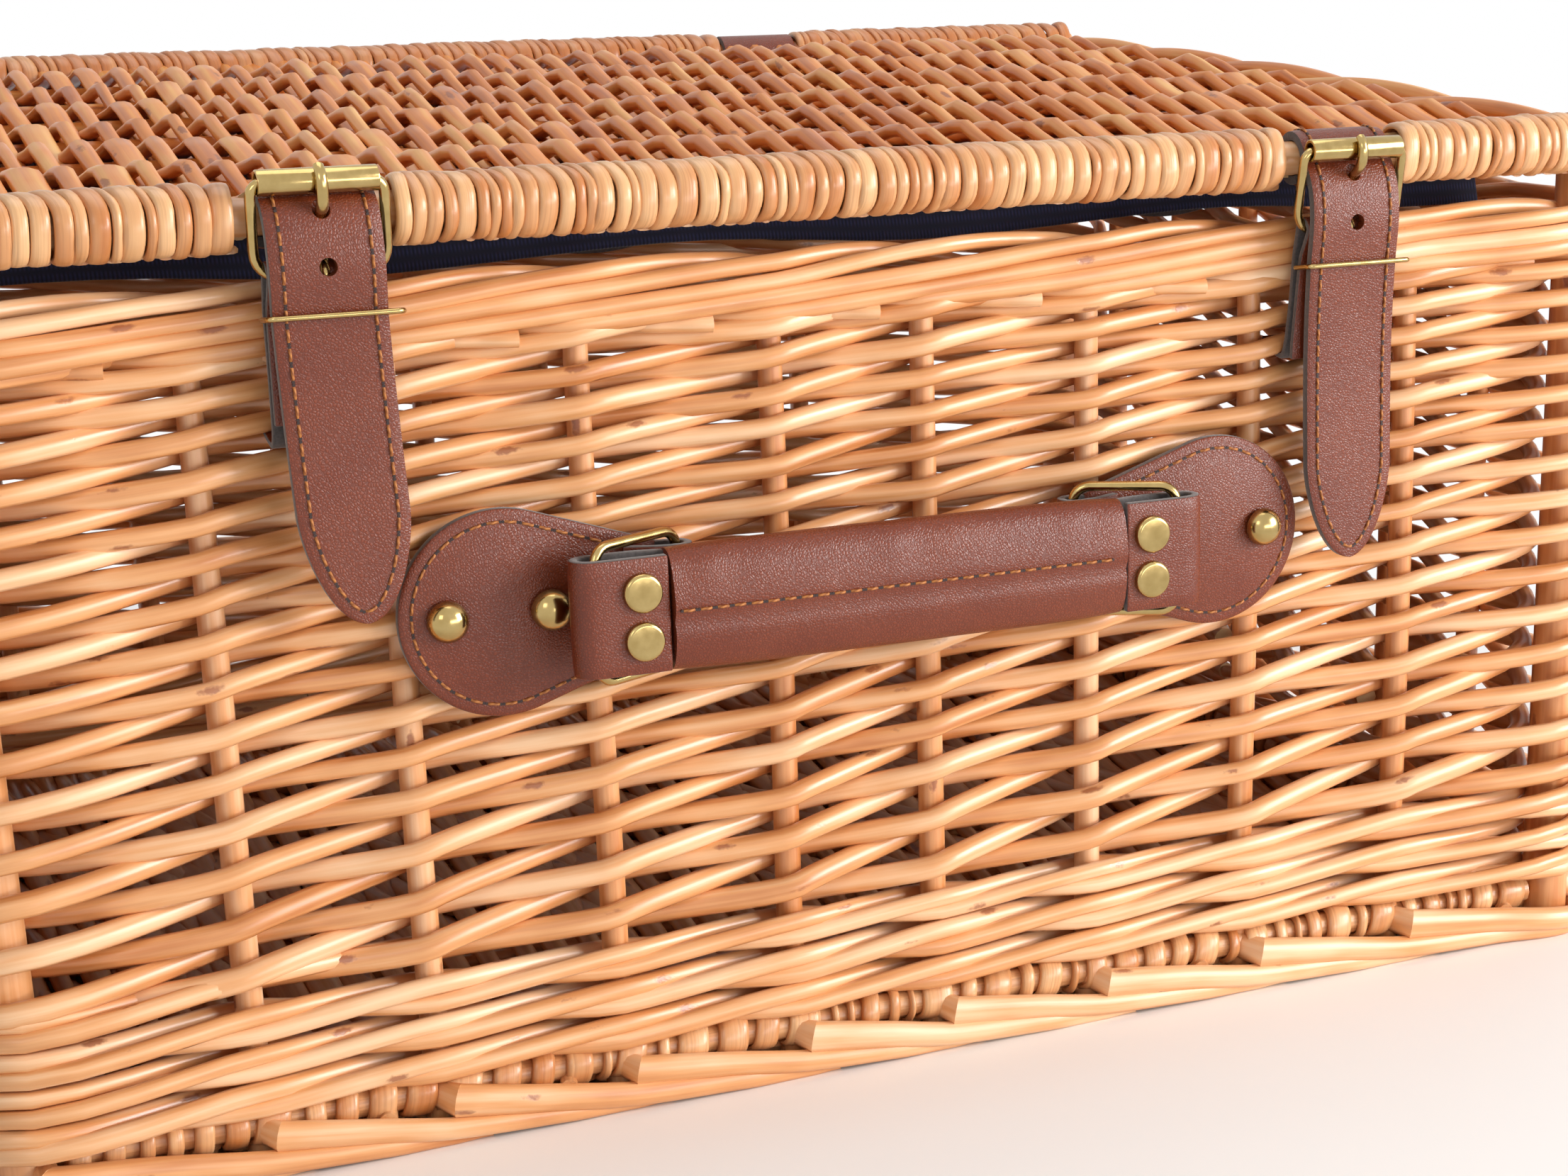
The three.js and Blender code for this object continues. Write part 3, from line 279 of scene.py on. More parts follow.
def weave_line(stations, headings, heights, steps, ease=1.0):
    """A smooth line through stations that leaves each of them along its heading.
    A small ease keeps it straight between them and bends it sharply at each."""
    ease = np.broadcast_to(ease, len(stations))
    spot = np.arange(steps)[:, None] / steps
    near, far = 1 + spot * spot * (2 * spot - 3), spot * spot * (3 - 2 * spot)
    leave, arrive = spot * (spot - 1) ** 2, spot * spot * (spot - 1)
    chord = np.linalg.norm(np.diff(stations, axis=0), axis=1)
    slope = np.gradient(heights)
    rows = []
    for i in range(len(stations) - 1):
        pull = leave * headings[i] * ease[i] + arrive * headings[i + 1] * ease[i + 1]
        flat = near * stations[i] + far * stations[i + 1] + chord[i] * pull
        rise = near * heights[i] + far * heights[i + 1] + leave * slope[i] + arrive * slope[i + 1]
        rows.append(np.hstack([flat, rise]))
    rows.append(np.append(stations[-1], heights[-1])[None])
    return np.concatenate(rows)


def weave_round(place, offset, heights, steps, ease):
    """A line round the walls, which passes each upright in place at an offset outwards and a height."""
    return weave_line(stand[place] + outward[place] * offset[:, None], heading[place], heights, steps, ease)


wall_low = solid("front_wall").low[2]
level = np.arange(-1, 30)
side = np.where(level % 2 == 0, 1, -1)
# A rod is about 6 mm thick at its butt and 4.6 mm towards its tip. The weave is beaten closer near the top.
thickness = 4.6 + 1.3 * np.exp(-level / 6)
climb = 4.5 + 5.95 * level - 0.0405 * level ** 2
# The bend is soft round a thick post.
post_ease, stake_ease = 0.9, 0.3
weave = new_bundle()
for number in range(uprights):
    place = (number + level) % uprights
    radius = thickness / 2 * chance.normal(1, 0.05) * MM
    offset = side * (thick[place] + 0.95 * radius) + chance.normal(0, 0.35 * MM, len(level))
    height = wall_low + climb * MM + chance.normal(0, 0.5 * MM, len(level))
    line = weave_round(place, offset, height, steps=8, ease=np.where(corner[place], post_ease, stake_ease))
    taper = np.interp(np.linspace(0, 1, len(line)), np.linspace(0, 1, len(level)), radius)
    grow(weave, line, taper, chance.uniform(0.25, 0.8))
add_rods("wall_weave", weave, willow, "basket",
         ["front_wall", "back_wall", "left_wall", "right_wall"])

# Lower wale. Three rods at a time are twisted round the uprights, each in front of two and behind one.
# Three rounds of it lock the wall to the base. New rods are laid in behind an upright where one runs out.
# Two plain rods lie inside the uprights behind the first round and close the wall down to the base.
band = solid("lower_wale")
wale_radius, wale_ease = 2.25 * MM, 0.6
rounds = 3
round_rise = (band.high[2] - band.low[2] - 1.5 * MM) / rounds - 0.8 * MM
wale = new_bundle()
for strand in range(3):
    behind = [u for u in range(-3, rounds * uprights + 3) if (u + strand) % 3 == 0]
    # A rod is long enough for twelve uprights.
    joins = behind[:-1:4] + behind[-1:]
    for begin, end in zip(joins, joins[1:]):
        steps = np.arange(begin, end + 1)
        phase = (steps + strand) % 3
        place = steps % uprights
        offset = np.where(phase == 0, -1, 1) * (thick[place] + wale_radius)
        base = band.low[2] + 5 * MM + np.clip(steps / uprights, 0, rounds) * round_rise
        height = base + np.choose(phase, [0, -2, 2]) * MM + chance.normal(0, 0.25 * MM, len(steps))
        line = weave_round(place, offset, height, steps=6, ease=np.where(corner[place], post_ease, wale_ease))
        taper = np.linspace(1.1, 0.9, len(line)) * chance.normal(1, 0.04)
        grow(wale, line, wale_radius * taper, chance.uniform(0.3, 0.9))
place = np.arange(uprights + 1) % uprights
for layer in range(2):
    height = np.full(len(place), band.low[2] + (5 + 4.6 * layer) * MM)
    line = weave_round(place, -(thick[place] + wale_radius), height, steps=4, ease=post_ease)
    grow(wale, line, wale_radius, 0.4 + 0.2 * layer)
add_rods("wale_rods", wale, willow, "basket", ["lower_wale"])

# Base. Six sticks lie along the hamper and thin rods are woven across them, over one and under the next.
# It is the same peeled willow as the walls. Its rods end at the sticks along its edges.


def points_at(spot, length, line):
    """The points of a line at spots along its length."""
    return np.stack([np.interp(spot, length, axis) for axis in line.T], -1)


def smooth_line(points, count, crowd=1.0):
    """A soft line through a few points, as count points. crowd above 1 packs them towards its end."""
    line = np.asarray(points, float)
    for _ in range(3):
        near, far = line[:-1], line[1:]
        inner = np.stack([0.75 * near + 0.25 * far, 0.25 * near + 0.75 * far], 1).reshape(-1, line.shape[1])
        line = np.concatenate([line[:1], inner, line[-1:]])
    length = run_length(line)
    return points_at((1 - (1 - np.linspace(0, 1, count)) ** crowd) * length[-1], length, line)


def woven_panel(low, high, rows_y, pitch, radius, ends, proud):
    """A flat panel of rods that run front to back, over and under sticks that run left to right.
    A rod runs straight from stick to stick, with a knee over each. ends is how far the rods' ends stand off
    the panel's middle, and proud is how far the knees stand up."""
    bundle = new_bundle()
    # A knee's bends, in millimetres along the rod and back towards the panel's middle.
    knee = ((-6, 1.3), (0, -0.9), (6, 1.3))
    middle = (low[2] + high[2]) / 2
    swing = (high[2] - low[2]) / 2 - 0.8 * radius
    for y in rows_y[1:-1]:
        path = np.linspace((low[0] + 2 * MM, y, middle), (high[0] - 2 * MM, y, middle), 20)
        grow(bundle, path, 2.2 * MM, chance.uniform(0.2, 0.6))
    rows = np.arange(len(rows_y))
    for column in range(int((high[0] - low[0]) / pitch)):
        x = low[0] + pitch * (column + 0.5) + chance.normal(0, 0.4 * MM)
        over = np.where((rows + column) % 2 == 0, 1, -1)
        level = middle + over * swing + np.maximum(over, 0) * proud + chance.normal(0, 0.45 * MM, len(rows))
        level[[0, -1]] = middle + over[[0, -1]] * ends
        drift = x + chance.normal(0, 0.4 * MM, len(rows))
        knees = [(drift[row], rows_y[row] + step * MM, level[row] - over[row] * fall * MM)
                 for row in rows for step, fall in knee]
        line = smooth_line(knees, 6 * len(rows))
        line = line[(line[:, 1] > rows_y[0]) & (line[:, 1] < rows_y[-1])]
        stout = radius * chance.uniform(0.84, 1.14)
        taper = np.linspace(1.06, 0.94, len(line))[::chance.choice([-1, 1])]
        wide, flat = chance.choice([(1.0, 1.0), (1.25, 0.95), (1.85, 0.8)], p=[0.42, 0.38, 0.2])
        grow(bundle, line, stout * taper, chance.uniform(0.2, 0.7), section=oval(wide, flat, 10))
    return bundle


base = solid("base_panel")
base_end = corner_x - 4 * MM
base_weave = woven_panel((-base_end, front_y, base.low[2]), (base_end, back_y, base.high[2]),
                         np.linspace(front_y, back_y, 8), pitch=4.4 * MM, radius=2.6 * MM, ends=1 * MM,
                         proud=0)
add_rods("base_weave", base_weave, willow, "basket", ["base_panel"])

# Foot border. At each upright a stout rod is kinked sharply outwards and laid along the floor to the right.
# It passes in front of the next two uprights, under the rods laid after it, and is cut off on the slant.
# Behind it the base's outer sticks show, bound with flat strips of split willow, and ends of the base's rods.


def station(position, offset):
    """A spot beside the walls and the heading there. position counts uprights, offset is outwards."""
    number = math.floor(position)
    part = position - number
    here, there = number % uprights, (number + 1) % uprights
    if part < 1e-6:
        return stand[here] + outward[here] * offset, heading[here]
    run, face = walls[wall_of[here]][1:3]
    return stand[here] * (1 - part) + stand[there] * part + np.multiply(face, offset), np.array(run, float)


def laid_line(stops, steps):
    """A smooth line through (position along the walls, offset, height) stops, the last two in millimetres."""
    stations, headings = zip(*(station(position, offset * MM) for position, offset, height in stops))
    return weave_line(np.array(stations), np.array(headings), np.array(stops)[:, 2] * MM, steps)


foot = new_bundle()
# Rods bulge by this many millimetres round a corner post.
post_room = 2.2
# The rod is pinched at the kink, so it is taller there than it is deep.
pinched = oval(0.9, 1.1, 12)
for number in range(uprights):
    stout = chance.normal(1, 0.05)
    lift = chance.normal(0, 0.3)
    room = post_room * corner[np.arange(number, number + 3) % uprights]
    run = laid_line([(number + 0.06, 7.4 + room[0] / 2, 10.3 + lift), (number + 0.5, 7.9, 7.9),
                     (number + 1, 8.2 + room[1], 4.7), (number + 1.6, 7.6, 3.0),
                     (number + 2, 6.6 + room[2], 2.2), (number + 2.2, 6.2, 2.1)], 8)
    inside = station(number - 0.1, -4 * MM)[0]
    elbow = np.linspace(np.append(inside, 12.4 * MM), run[0], 6)
    tone = chance.uniform(0.3, 0.85)
    fold = unit(unit(elbow[-1] - elbow[-2]) + unit(run[1] - run[0]))
    grow(foot, elbow, np.linspace(2.6, 3.6, 6) * MM * stout, tone, section=pinched, mitre=[(-1, fold)])
    taper = np.interp(np.arange(len(run)), [0, 8, 24, len(run) - 1], [3.6, 3.1, 2.4, 1.8]) * MM * stout
    slant = unit(unit(run[-1] - run[-2]) + (0, 0, 0.9))
    grow(foot, run, taper, tone, section=pinched, mitre=[(0, fold), (-1, slant)])
add_rods("foot_rods", foot, willow, "basket", ["foot_border"])

# Split willow is the white inside of a rod, planed flat: satin, with fine straight grain along the strip.
strip_willow, add = new_material("split_willow_satin")
place = add("Attribute", output="Vector", attribute_name="rod")
tone = add("Attribute", output="Fac", attribute_name="tone")
# Grain lines are about 0.6 mm apart and run 40 mm.
lines = add("VectorMath", [place, (1 / 40, 1 / 0.6, 1 / 0.6)], operation="MULTIPLY")
grain = add("TexNoise", {"Vector": lines, "Scale": 1, "Detail": 3})
broad = add("VectorMath", [place, (1 / 18, 1 / 4, 1 / 4)], operation="MULTIPLY")
stain = add("TexNoise", {"Vector": broad, "Scale": 1, "Detail": 2})
stain = add("MapRange", [stain, 0.3, 0.7, -0.3, 0.3])
level = add("Math", [tone, stain], operation="ADD", use_clamp=True)
wood = add("Mix", {0: level, 6: "#C0773F", 7: "#E5B27E"}, 2, data_type="RGBA")
dark = add("MapRange", [grain, 0.52, 0.3, 0, 0.35])
wood = add("Mix", {0: dark, 6: wood, 7: "#995A30"}, 2, data_type="RGBA")
bump = add("Bump", {"Height": grain, "Strength": 0.35, "Distance": 0.2 * MM})
shader = add("BsdfPrincipled", {"Base Color": wood, "Roughness": 0.32, "Normal": bump, "IOR": 1.6})
add("OutputMaterial", [shader])


def bind(bundle, start, finish, radius, width, gap, spread, tones, sweep):
    """Winds flat strips round a stick from start to finish. spread is how much their widths differ.
    sweep is how far the strips lean towards the start where they go over the top."""
    axis = unit(finish - start)
    side = unit(np.cross(axis, (0, 0, 1)))
    top = np.cross(side, axis)
    length = np.linalg.norm(finish - start)
    share = chance.uniform(1 - spread, 1 + spread, max(1, round(length / (width + gap))))
    edges = np.concatenate([[0], np.cumsum(share)]) / share.sum() * length
    angle = np.linspace(-0.5 * math.pi, 1.5 * math.pi, 29)
    away = side * np.cos(angle)[:, None] + top * np.sin(angle)[:, None]
    for here, there in zip(edges, edges[1:]):
        broad = (there - here - gap) / 2 * chance.uniform(0.98, 1.06)
        lean = (there - here) * chance.uniform(0.3, 0.8)
        shift = (here + there) / 2 + (angle / (2 * math.pi) - 0.25) * lean
        clear = min(here, length - there) / (10 * MM)
        shift -= sweep * np.clip((angle - 0.5) / 1.8, 0, 1) ** 1.5 * np.clip(clear, 0, 1)
        # A strip is stiff, so it goes round in a few flats and not in a true circle.
        flats = 1 + 0.035 * np.cos(4 * (angle - chance.uniform(0, 1.6)))
        ring = start + axis * shift[:, None] + away * ((radius - 0.7 * MM) * flats)[:, None]
        across = np.array([-1, -0.92, -0.55, 0, 0.55, 0.92, 1, 0.8, -0.8]) * broad / MM
        thickness = np.array([-0.6, 0.3, 0.6, 0.7, 0.6, 0.3, -0.6, -0.9, -0.9])
        thickness[:7] += chance.uniform(-0.2, 0.3) * np.linspace(-1, 1, 7)
        grow(bundle, ring, MM, chance.uniform(*tones), away, np.stack([across, thickness], 1)[::-1])


edging = new_bundle()
edge_height = 12.2 * MM
for start, run, face, _ in walls:
    length = 2 * corner_x if run[0] else back_y - front_y
    begin = np.append(np.array(start) + np.multiply(run, 8 * MM) + np.multiply(face, 1 * MM), edge_height)
    finish = begin + np.append(np.multiply(run, length - 16 * MM), 0)
    grow(edging, np.linspace(begin, finish, 30), 3.6 * MM, chance.uniform(0.4, 0.8))
    bind(edging, begin, finish, radius=5.4 * MM, width=4.9 * MM, gap=2.6 * MM, spread=0.5, tones=(0.2, 0.9),
         sweep=0)
for number in range(uprights):
    if chance.uniform() < 0.6 and not corner[number]:
        inside, outside = station(number + 0.72, -2 * MM)[0], station(number + 0.66, 7.4 * MM)[0]
        stub = np.linspace(np.append(inside, 9.6 * MM), np.append(outside, 9 * MM), 5)
        grow(edging, stub, 2.1 * MM, chance.uniform(0.3, 0.8))
add_rods("base_edging", edging, strip_willow, "basket")

# Rim border. Rods rise from behind each upright, run up to the right in front of three more and roll over the
# top to the inside. Their thin tips come back out under the band and are clipped short beside the uprights.
top, bottom = border.high[2] / MM, rim_low / MM
rim = new_bundle()
for number in range(uprights):
    wobble = chance.normal(0, 0.35, 4)
    line = laid_line([
        (number - 0.55, -4.5, bottom + 0.6),
        (number, 5.2 + post_room * corner[number], bottom + 1.8 + wobble[0]),
        (number + 1, 5.9, bottom + 5.4 + wobble[1]),
        (number + 2, 6.2, bottom + 9.1 + wobble[2]),
        (number + 3, 5.4, bottom + 12.8 + wobble[3]),
        (number + 3.6, 0.8, top - 2.4),
        (number + 4, -5.3, top - 4.8),
        (number + 4.5, -5.6, top - 10),
    ], 8)
    taper = np.linspace(2.35, 1.8, len(line)) * chance.normal(1, 0.05)
    grow(rim, line, taper * MM, chance.uniform(0.3, 0.9))
    tip = laid_line([(number + 0.12, -3, bottom + 1.4), (number + 0.4, 2.5, bottom + 0.6),
                     (number + 0.66, 5.4, bottom + 0.2)], 5)
    grow(rim, tip, np.linspace(2.3, 2.0, len(tip)) * MM, chance.uniform(0.3, 0.9))
add_rods("rim_rods", rim, willow, "basket", ["top_border"])

# Lid sticks. A straight willow stick runs along the lid's front and back edge and carries the lid's weave.
# The back one turns in the leather hinge loops. Both are peeled rods, bare where a strap passes.
stick_places = {}
for edge in ("front", "back"):
    stick = solid(f"lid_{edge}_stick")
    stick_places[edge] = stick.middle[1:]
    path = np.linspace((stick.low[0], *stick.middle[1:]), (stick.high[0], *stick.middle[1:]), 40)
    bundle = new_bundle()
    grow(bundle, path, stick.half[2], 0.6, section=oval(1, 1, 16))
    add_rods(f"lid_stick_{edge}", bundle, willow, "lid", [f"lid_{edge}_stick"])

# Lid weave. Rods run from the front stick to the back one, over and under six inner sticks, side by side.
# It is the same buff willow as the walls, a little darker, with some wide flat rods among the round ones.
lid = solid("lid_panel")
lid_willow = peeled_willow("buff_willow_lid", "#BC6526", "#E38D42", "#F1B870", "#84401F", index=1.45)
lid_rows = np.linspace(stick_places["front"][0], stick_places["back"][0], 8)
lid_weave = woven_panel(lid.low, lid.high, lid_rows, pitch=4.2 * MM, radius=1.85 * MM, ends=3 * MM,
                        proud=2 * MM)
add_rods("lid_weave", lid_weave, lid_willow, "lid", ["lid_panel"])

# Lid side borders. Three long rods are laid along each end of the lid in a slow twist, like a rope.
# They hide the ends of the lid's rows and are tucked in under the bound sticks.
for side, sign in (("left", -1), ("right", 1)):
    x, _, z = solid(f"lid_{side}_border").middle
    run = np.linspace(lid_rows[0] + 3 * MM, lid_rows[-1] - 3 * MM, 60)
    bow = 2.6 * MM * np.sin(np.linspace(0, math.pi, len(run))) ** 0.5
    bundle = new_bundle()
    for strand in range(3):
        turn = 2 * math.pi * (np.linspace(0, 1.8, len(run)) + strand / 3)
        line = np.stack([x + sign * 3 * MM * np.cos(turn), run, z + bow + 3.2 * MM * np.sin(turn)], 1)
        grow(bundle, line, np.linspace(3.1, 2.6, len(run)) * MM, chance.uniform(0.2, 0.7))
    add_rods(f"lid_border_{side}", bundle, lid_willow, "lid", [f"lid_{side}_border"])

# Bound rolls. Flat strips of split willow are wound side by side round the lid's front and back sticks.
# They stop at each strap and hinge loop, where the stick is bare.
for edge, tones in (("front", (0.15, 0.95)), ("back", (-0.2, 0.3))):
    for part in ("left", "middle", "right"):
        node = f"lid_{edge}_wrap_{part}"
        wrap = solid(node)
        start, finish = (np.array([x, *stick_places[edge]]) for x in (wrap.low[0], wrap.high[0]))
        bundle = new_bundle()
        bind(bundle, start, finish, radius=7.5 * MM, width=3.45 * MM, gap=0.15 * MM, spread=0.42, tones=tones,
             sweep=5 * MM)
        add_rods(f"roll_{edge}_{part}", bundle, strip_willow, "lid", [node])

# Lid lining. A panel of navy cotton is stretched over a card and held under the lid.
# It shows as a dark band in the gap under the lid.


def new_shape(add_primitive, name, scale=(1, 1, 1), **settings):
    """Adds a primitive, alone in the selection, and puts its place, turn and scale into its mesh."""
    bpy.ops.object.select_all(action="DESELECT")
    add_primitive(**settings)
    shape = bpy.context.object
    shape.name = name
    shape.scale = scale
    bpy.ops.object.transform_apply(location=True, rotation=True, scale=True)
    return shape


def apply_modifier(piece, name, kind, **settings):
    """Adds a modifier with its settings and applies it."""
    modifier = piece.modifiers.new(name, kind)
    for setting, value in settings.items():
        setattr(modifier, setting, value)
    bpy.context.view_layer.objects.active = piece
    bpy.ops.object.modifier_apply(modifier=name)


# Plain woven cotton is matt, with threads that cross. One every 0.9 mm, twice as coarse as the real cloth's.
cotton, add = new_material("navy_cotton_plain_weave")
place = add("TexCoord", output="Object")
# A wave texture at scale 1 turns through 20 radians in each unit.
full_wave = 2 * math.pi / 20
rate = full_wave / (0.9 * MM)
warp = add("TexWave", {"Vector": place, "Scale": rate}, "Fac", bands_direction="X")
weft = add("TexWave", {"Vector": place, "Scale": rate}, "Fac", bands_direction="Y")
cross = add("Math", [warp, weft], operation="MULTIPLY")
cloth = add("Mix", {0: cross, 6: "#14182F", 7: "#262C52"}, 2, data_type="RGBA")
bump = add("Bump", {"Height": cross, "Strength": 0.5, "Distance": 0.2 * MM})
shader = add("BsdfPrincipled", {"Base Color": cloth, "Roughness": 0.9, "Normal": bump, "Sheen Weight": 0.2})
add("OutputMaterial", [shader])

panel = solid("lid_lining")
cut_size = panel.high[:2] - panel.low[:2]
lining = new_shape(bpy.ops.mesh.primitive_grid_add, "lining_cloth", (*cut_size, 1),
                   x_subdivisions=30, y_subdivisions=22, size=1, location=panel.middle)
for vertex in lining.data.vertices:
    x, y, _ = vertex.co
    still = 1 - (abs(x) / panel.high[0]) ** 4
    vertex.co[2] += 0.3 * MM * math.sin(x * 90) * math.sin(y * 70) * still
    # The front edge is loose and hangs down in a shallow pocket.
    if y < panel.low[1] + 1 * MM:
        vertex.co[1] += 9 * MM
        vertex.co[2] -= (10 + 1.5 * math.sin(x * 45)) * MM
apply_modifier(lining, "cloth_and_card", "SOLIDIFY", thickness=1.6 * MM, offset=0)
apply_modifier(lining, "turned_edge", "BEVEL", width=0.7 * MM, segments=3)
bpy.ops.object.shade_smooth_by_angle(angle=math.radians(40))
settle(lining, [cotton], "lid", ["lid_lining"])
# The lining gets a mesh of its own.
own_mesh(lining)

# Lining strap. A brown leather strap is stitched to the lining at intervals, so that it stands off in loops.
# It is one length of the same leather as the buckle straps, cut thinner.

# Brown chrome-tanned cowhide, waxed: fine pebbled grain, satin gloss, lighter where it has been rubbed. The
# creases between the pebbles are darkened: painted shade.
leather, add = new_material("brown_cowhide_waxed")
place = add("TexCoord", output="Object")
# Grain pebbles are 0.7 mm across and clouds of colour 20 mm.
grain = add("TexVoronoi", {"Vector": place, "Scale": 1 / (0.7 * MM)}, "Distance", feature="DISTANCE_TO_EDGE")
fine = add("TexNoise", {"Vector": place, "Scale": 1 / (1.6 * MM), "Detail": 3})
cloud = add("TexNoise", {"Vector": place, "Scale": 1 / (20 * MM), "Detail": 2})
crease = add("MapRange", [grain, 0, 0.3])
rubbed = add("MapRange", [cloud, 0.35, 0.65])
hide = add("Mix", {0: rubbed, 6: "#752E12", 7: "#7F371A"}, 2, data_type="RGBA")
# Painted shade: the creases between the grain pebbles are mixed towards dark brown.
crease_shade = add("MapRange", [crease, 0, 1, 0.5, 0])
hide = add("Mix", {0: crease_shade, 6: hide, 7: "#4A1B0B"}, 2, data_type="RGBA")
gloss = add("MapRange", [fine, 0.3, 0.7, 0.32, 0.4])
height = add("Math", [crease, fine], operation="ADD")
bump = add("Bump", {"Height": height, "Strength": 0.4, "Distance": 0.16 * MM})
shader = add("BsdfPrincipled", {"Base Color": hide, "Roughness": gloss, "Normal": bump, "IOR": 1.5})
add("OutputMaterial", [shader])

# The cut edge and flesh side of the hide: dark grey, fibrous and matt like suede.
suede, add = new_material("cowhide_flesh_side")
place = add("TexCoord", output="Object")
nap = add("TexNoise", {"Vector": place, "Scale": 1 / (0.7 * MM), "Detail": 4})
fibre = add("Mix", {0: nap, 6: "#37302E", 7: "#67605E"}, 2, data_type="RGBA")
bump = add("Bump", {"Height": nap, "Strength": 0.5, "Distance": 0.2 * MM})
shader = add("BsdfPrincipled", {"Base Color": fibre, "Roughness": 0.92, "Normal": bump, "Sheen Weight": 0.3})
add("OutputMaterial", [shader])


def add_strap(name, line, across, half, thickness, body, replaces=(), columns=8, crown=0.0):
    """Adds a strap along line, half as wide to each side, grain side outwards, its edges lower by crown."""
    rows, wide = len(line), columns + 1
    across = np.asarray(across, float)
    out = unit(np.cross(unit(np.gradient(line, axis=0)), across))[:, None]
    part = np.linspace(-1, 1, wide)
    flat = line[:, None] + across * (part[None, :] * np.broadcast_to(half, rows)[:, None])[..., None]
    grain_side = flat + out * (thickness / 2 - crown * part ** 6)[None, :, None]
    flesh = flat - out * thickness / 2
    face = np.arange(rows * wide).reshape(rows, wide)
    back = face + rows * wide
    sheets = [
        (face[:-1, :-1], face[1:, :-1], face[1:, 1:], face[:-1, 1:]),
        (back[:-1, :-1], back[:-1, 1:], back[1:, 1:], back[1:, :-1]),
        (face[:-1, 0], back[:-1, 0], back[1:, 0], face[1:, 0]),
        (face[:-1, -1], face[1:, -1], back[1:, -1], back[:-1, -1]),
        (face[0, :-1], face[0, 1:], back[0, 1:], back[0, :-1]),
        (face[-1, :-1], back[-1, :-1], back[-1, 1:], face[-1, 1:]),
    ]
    faces = np.concatenate([np.stack([side.ravel() for side in sheet], 1) for sheet in sheets]).tolist()
    points = np.concatenate([grain_side.reshape(-1, 3), flesh.reshape(-1, 3)]).tolist()
    piece = new_piece(name, points, faces)
    # Only the first sheet is grain side.
    grain_faces = sheets[0][0].size
    piece.data.polygons.foreach_set("material_index", [int(i >= grain_faces) for i in range(len(faces))])
    return settle(piece, [leather, suede], body, replaces)


def round_edges(piece, width):
    """Rounds a strap's cut edges and smooths its faces."""
    bpy.ops.object.select_all(action="DESELECT")
    piece.select_set(True)
    apply_modifier(piece, "burnished_edge", "BEVEL", width=width, segments=2, limit_method="ANGLE",
                   angle_limit=math.radians(50))
    bpy.ops.object.shade_smooth_by_angle(angle=math.radians(45))


strap = solid("lining_strap")
loop_pitch = 50 * MM
strap_x = np.linspace(strap.low[0], strap.high[0], 120)
hang = np.abs(np.sin(strap_x / loop_pitch * math.pi + math.pi / 2)) ** 0.7
hang[np.abs(strap_x) > 125 * MM] = 0
strap_y, strap_z = np.full_like(strap_x, strap.middle[1]), strap.high[2] - 1.2 * MM - hang * 8 * MM
line = np.stack([strap_x, strap_y, strap_z], 1)
loops = add_strap("lining_loops", line, (0, -1, 0), strap.half[1], 1.4 * MM, "lid", ["lining_strap"])
round_edges(loops, 0.3 * MM)

# Hinge loops. At the back two leather straps come out of the wall, go round the lid's back stick and return.
# They are plain straps of the same hide, held by their ends inside the weave.
across_x = np.array([1.0, 0, 0])


def wrap_round(x, y, z, radius, turns):
    """Points round a bar that lies along x, at turns in degrees from behind it over its top."""
    return [(x, y + radius * math.cos(turn), z + radius * math.sin(turn)) for turn in np.radians(turns)]


for side in ("left", "right"):
    strap = solid(f"hinge_loop_{side}")
    x = strap.middle[0]
    back, low = strap.high[1], strap.low[2]
    y, z = stick_places["back"]
    points = [(x, back - 14 * MM, low + 2 * MM), (x, back - 6 * MM, low + 2 * MM),
              (x, back_y + 9.6 * MM, low + 4 * MM), (x, back_y + 9.8 * MM, z - 12 * MM)]
    line = smooth_line(points + wrap_round(x, y, z, 5.6 * MM, np.arange(-20, 285, 12)), 90)
    loop = add_strap(f"hinge_strap_{side}", line, across_x, strap.half[0], 2 * MM, "basket",
                     [f"hinge_loop_{side}"])
    round_edges(loop, 0.4 * MM)

# Strap tongues. Each is folded round the lid's front stick, runs down under the buckle's roller, through the
# keeper, and hangs in front of the wall. The edge is sewn all round with orange waxed thread.

# Orange polyester sewing thread, waxed: a fine twist with a dull shine. A tone below 0 is a needle hole,
# painted dark brown as the shade inside it.
thread, add = new_material("orange_waxed_thread")
place = add("Attribute", output="Vector", attribute_name="rod")
# The twist repeats every 0.8 mm.
slant = add("VectorMath", [place, (1, 1.4, 1.4)], operation="MULTIPLY")
twist = add("TexWave", {"Vector": slant, "Scale": full_wave / 0.8}, "Fac", bands_direction="DIAGONAL")
yarn = add("Mix", {0: twist, 6: "#8E4F20", 7: "#BD783A"}, 2, data_type="RGBA")
tone = add("Attribute", output="Fac", attribute_name="tone")
# A needle hole's dark brown is painted shade.
hole = add("Math", [tone, -0.5], operation="LESS_THAN")
yarn = add("Mix", {0: hole, 6: yarn, 7: "#2A130C"}, 2, data_type="RGBA")
shader = add("BsdfPrincipled", {"Base Color": yarn, "Roughness": 0.6})
add("OutputMaterial", [shader])
stitch_pitch = 4 * MM


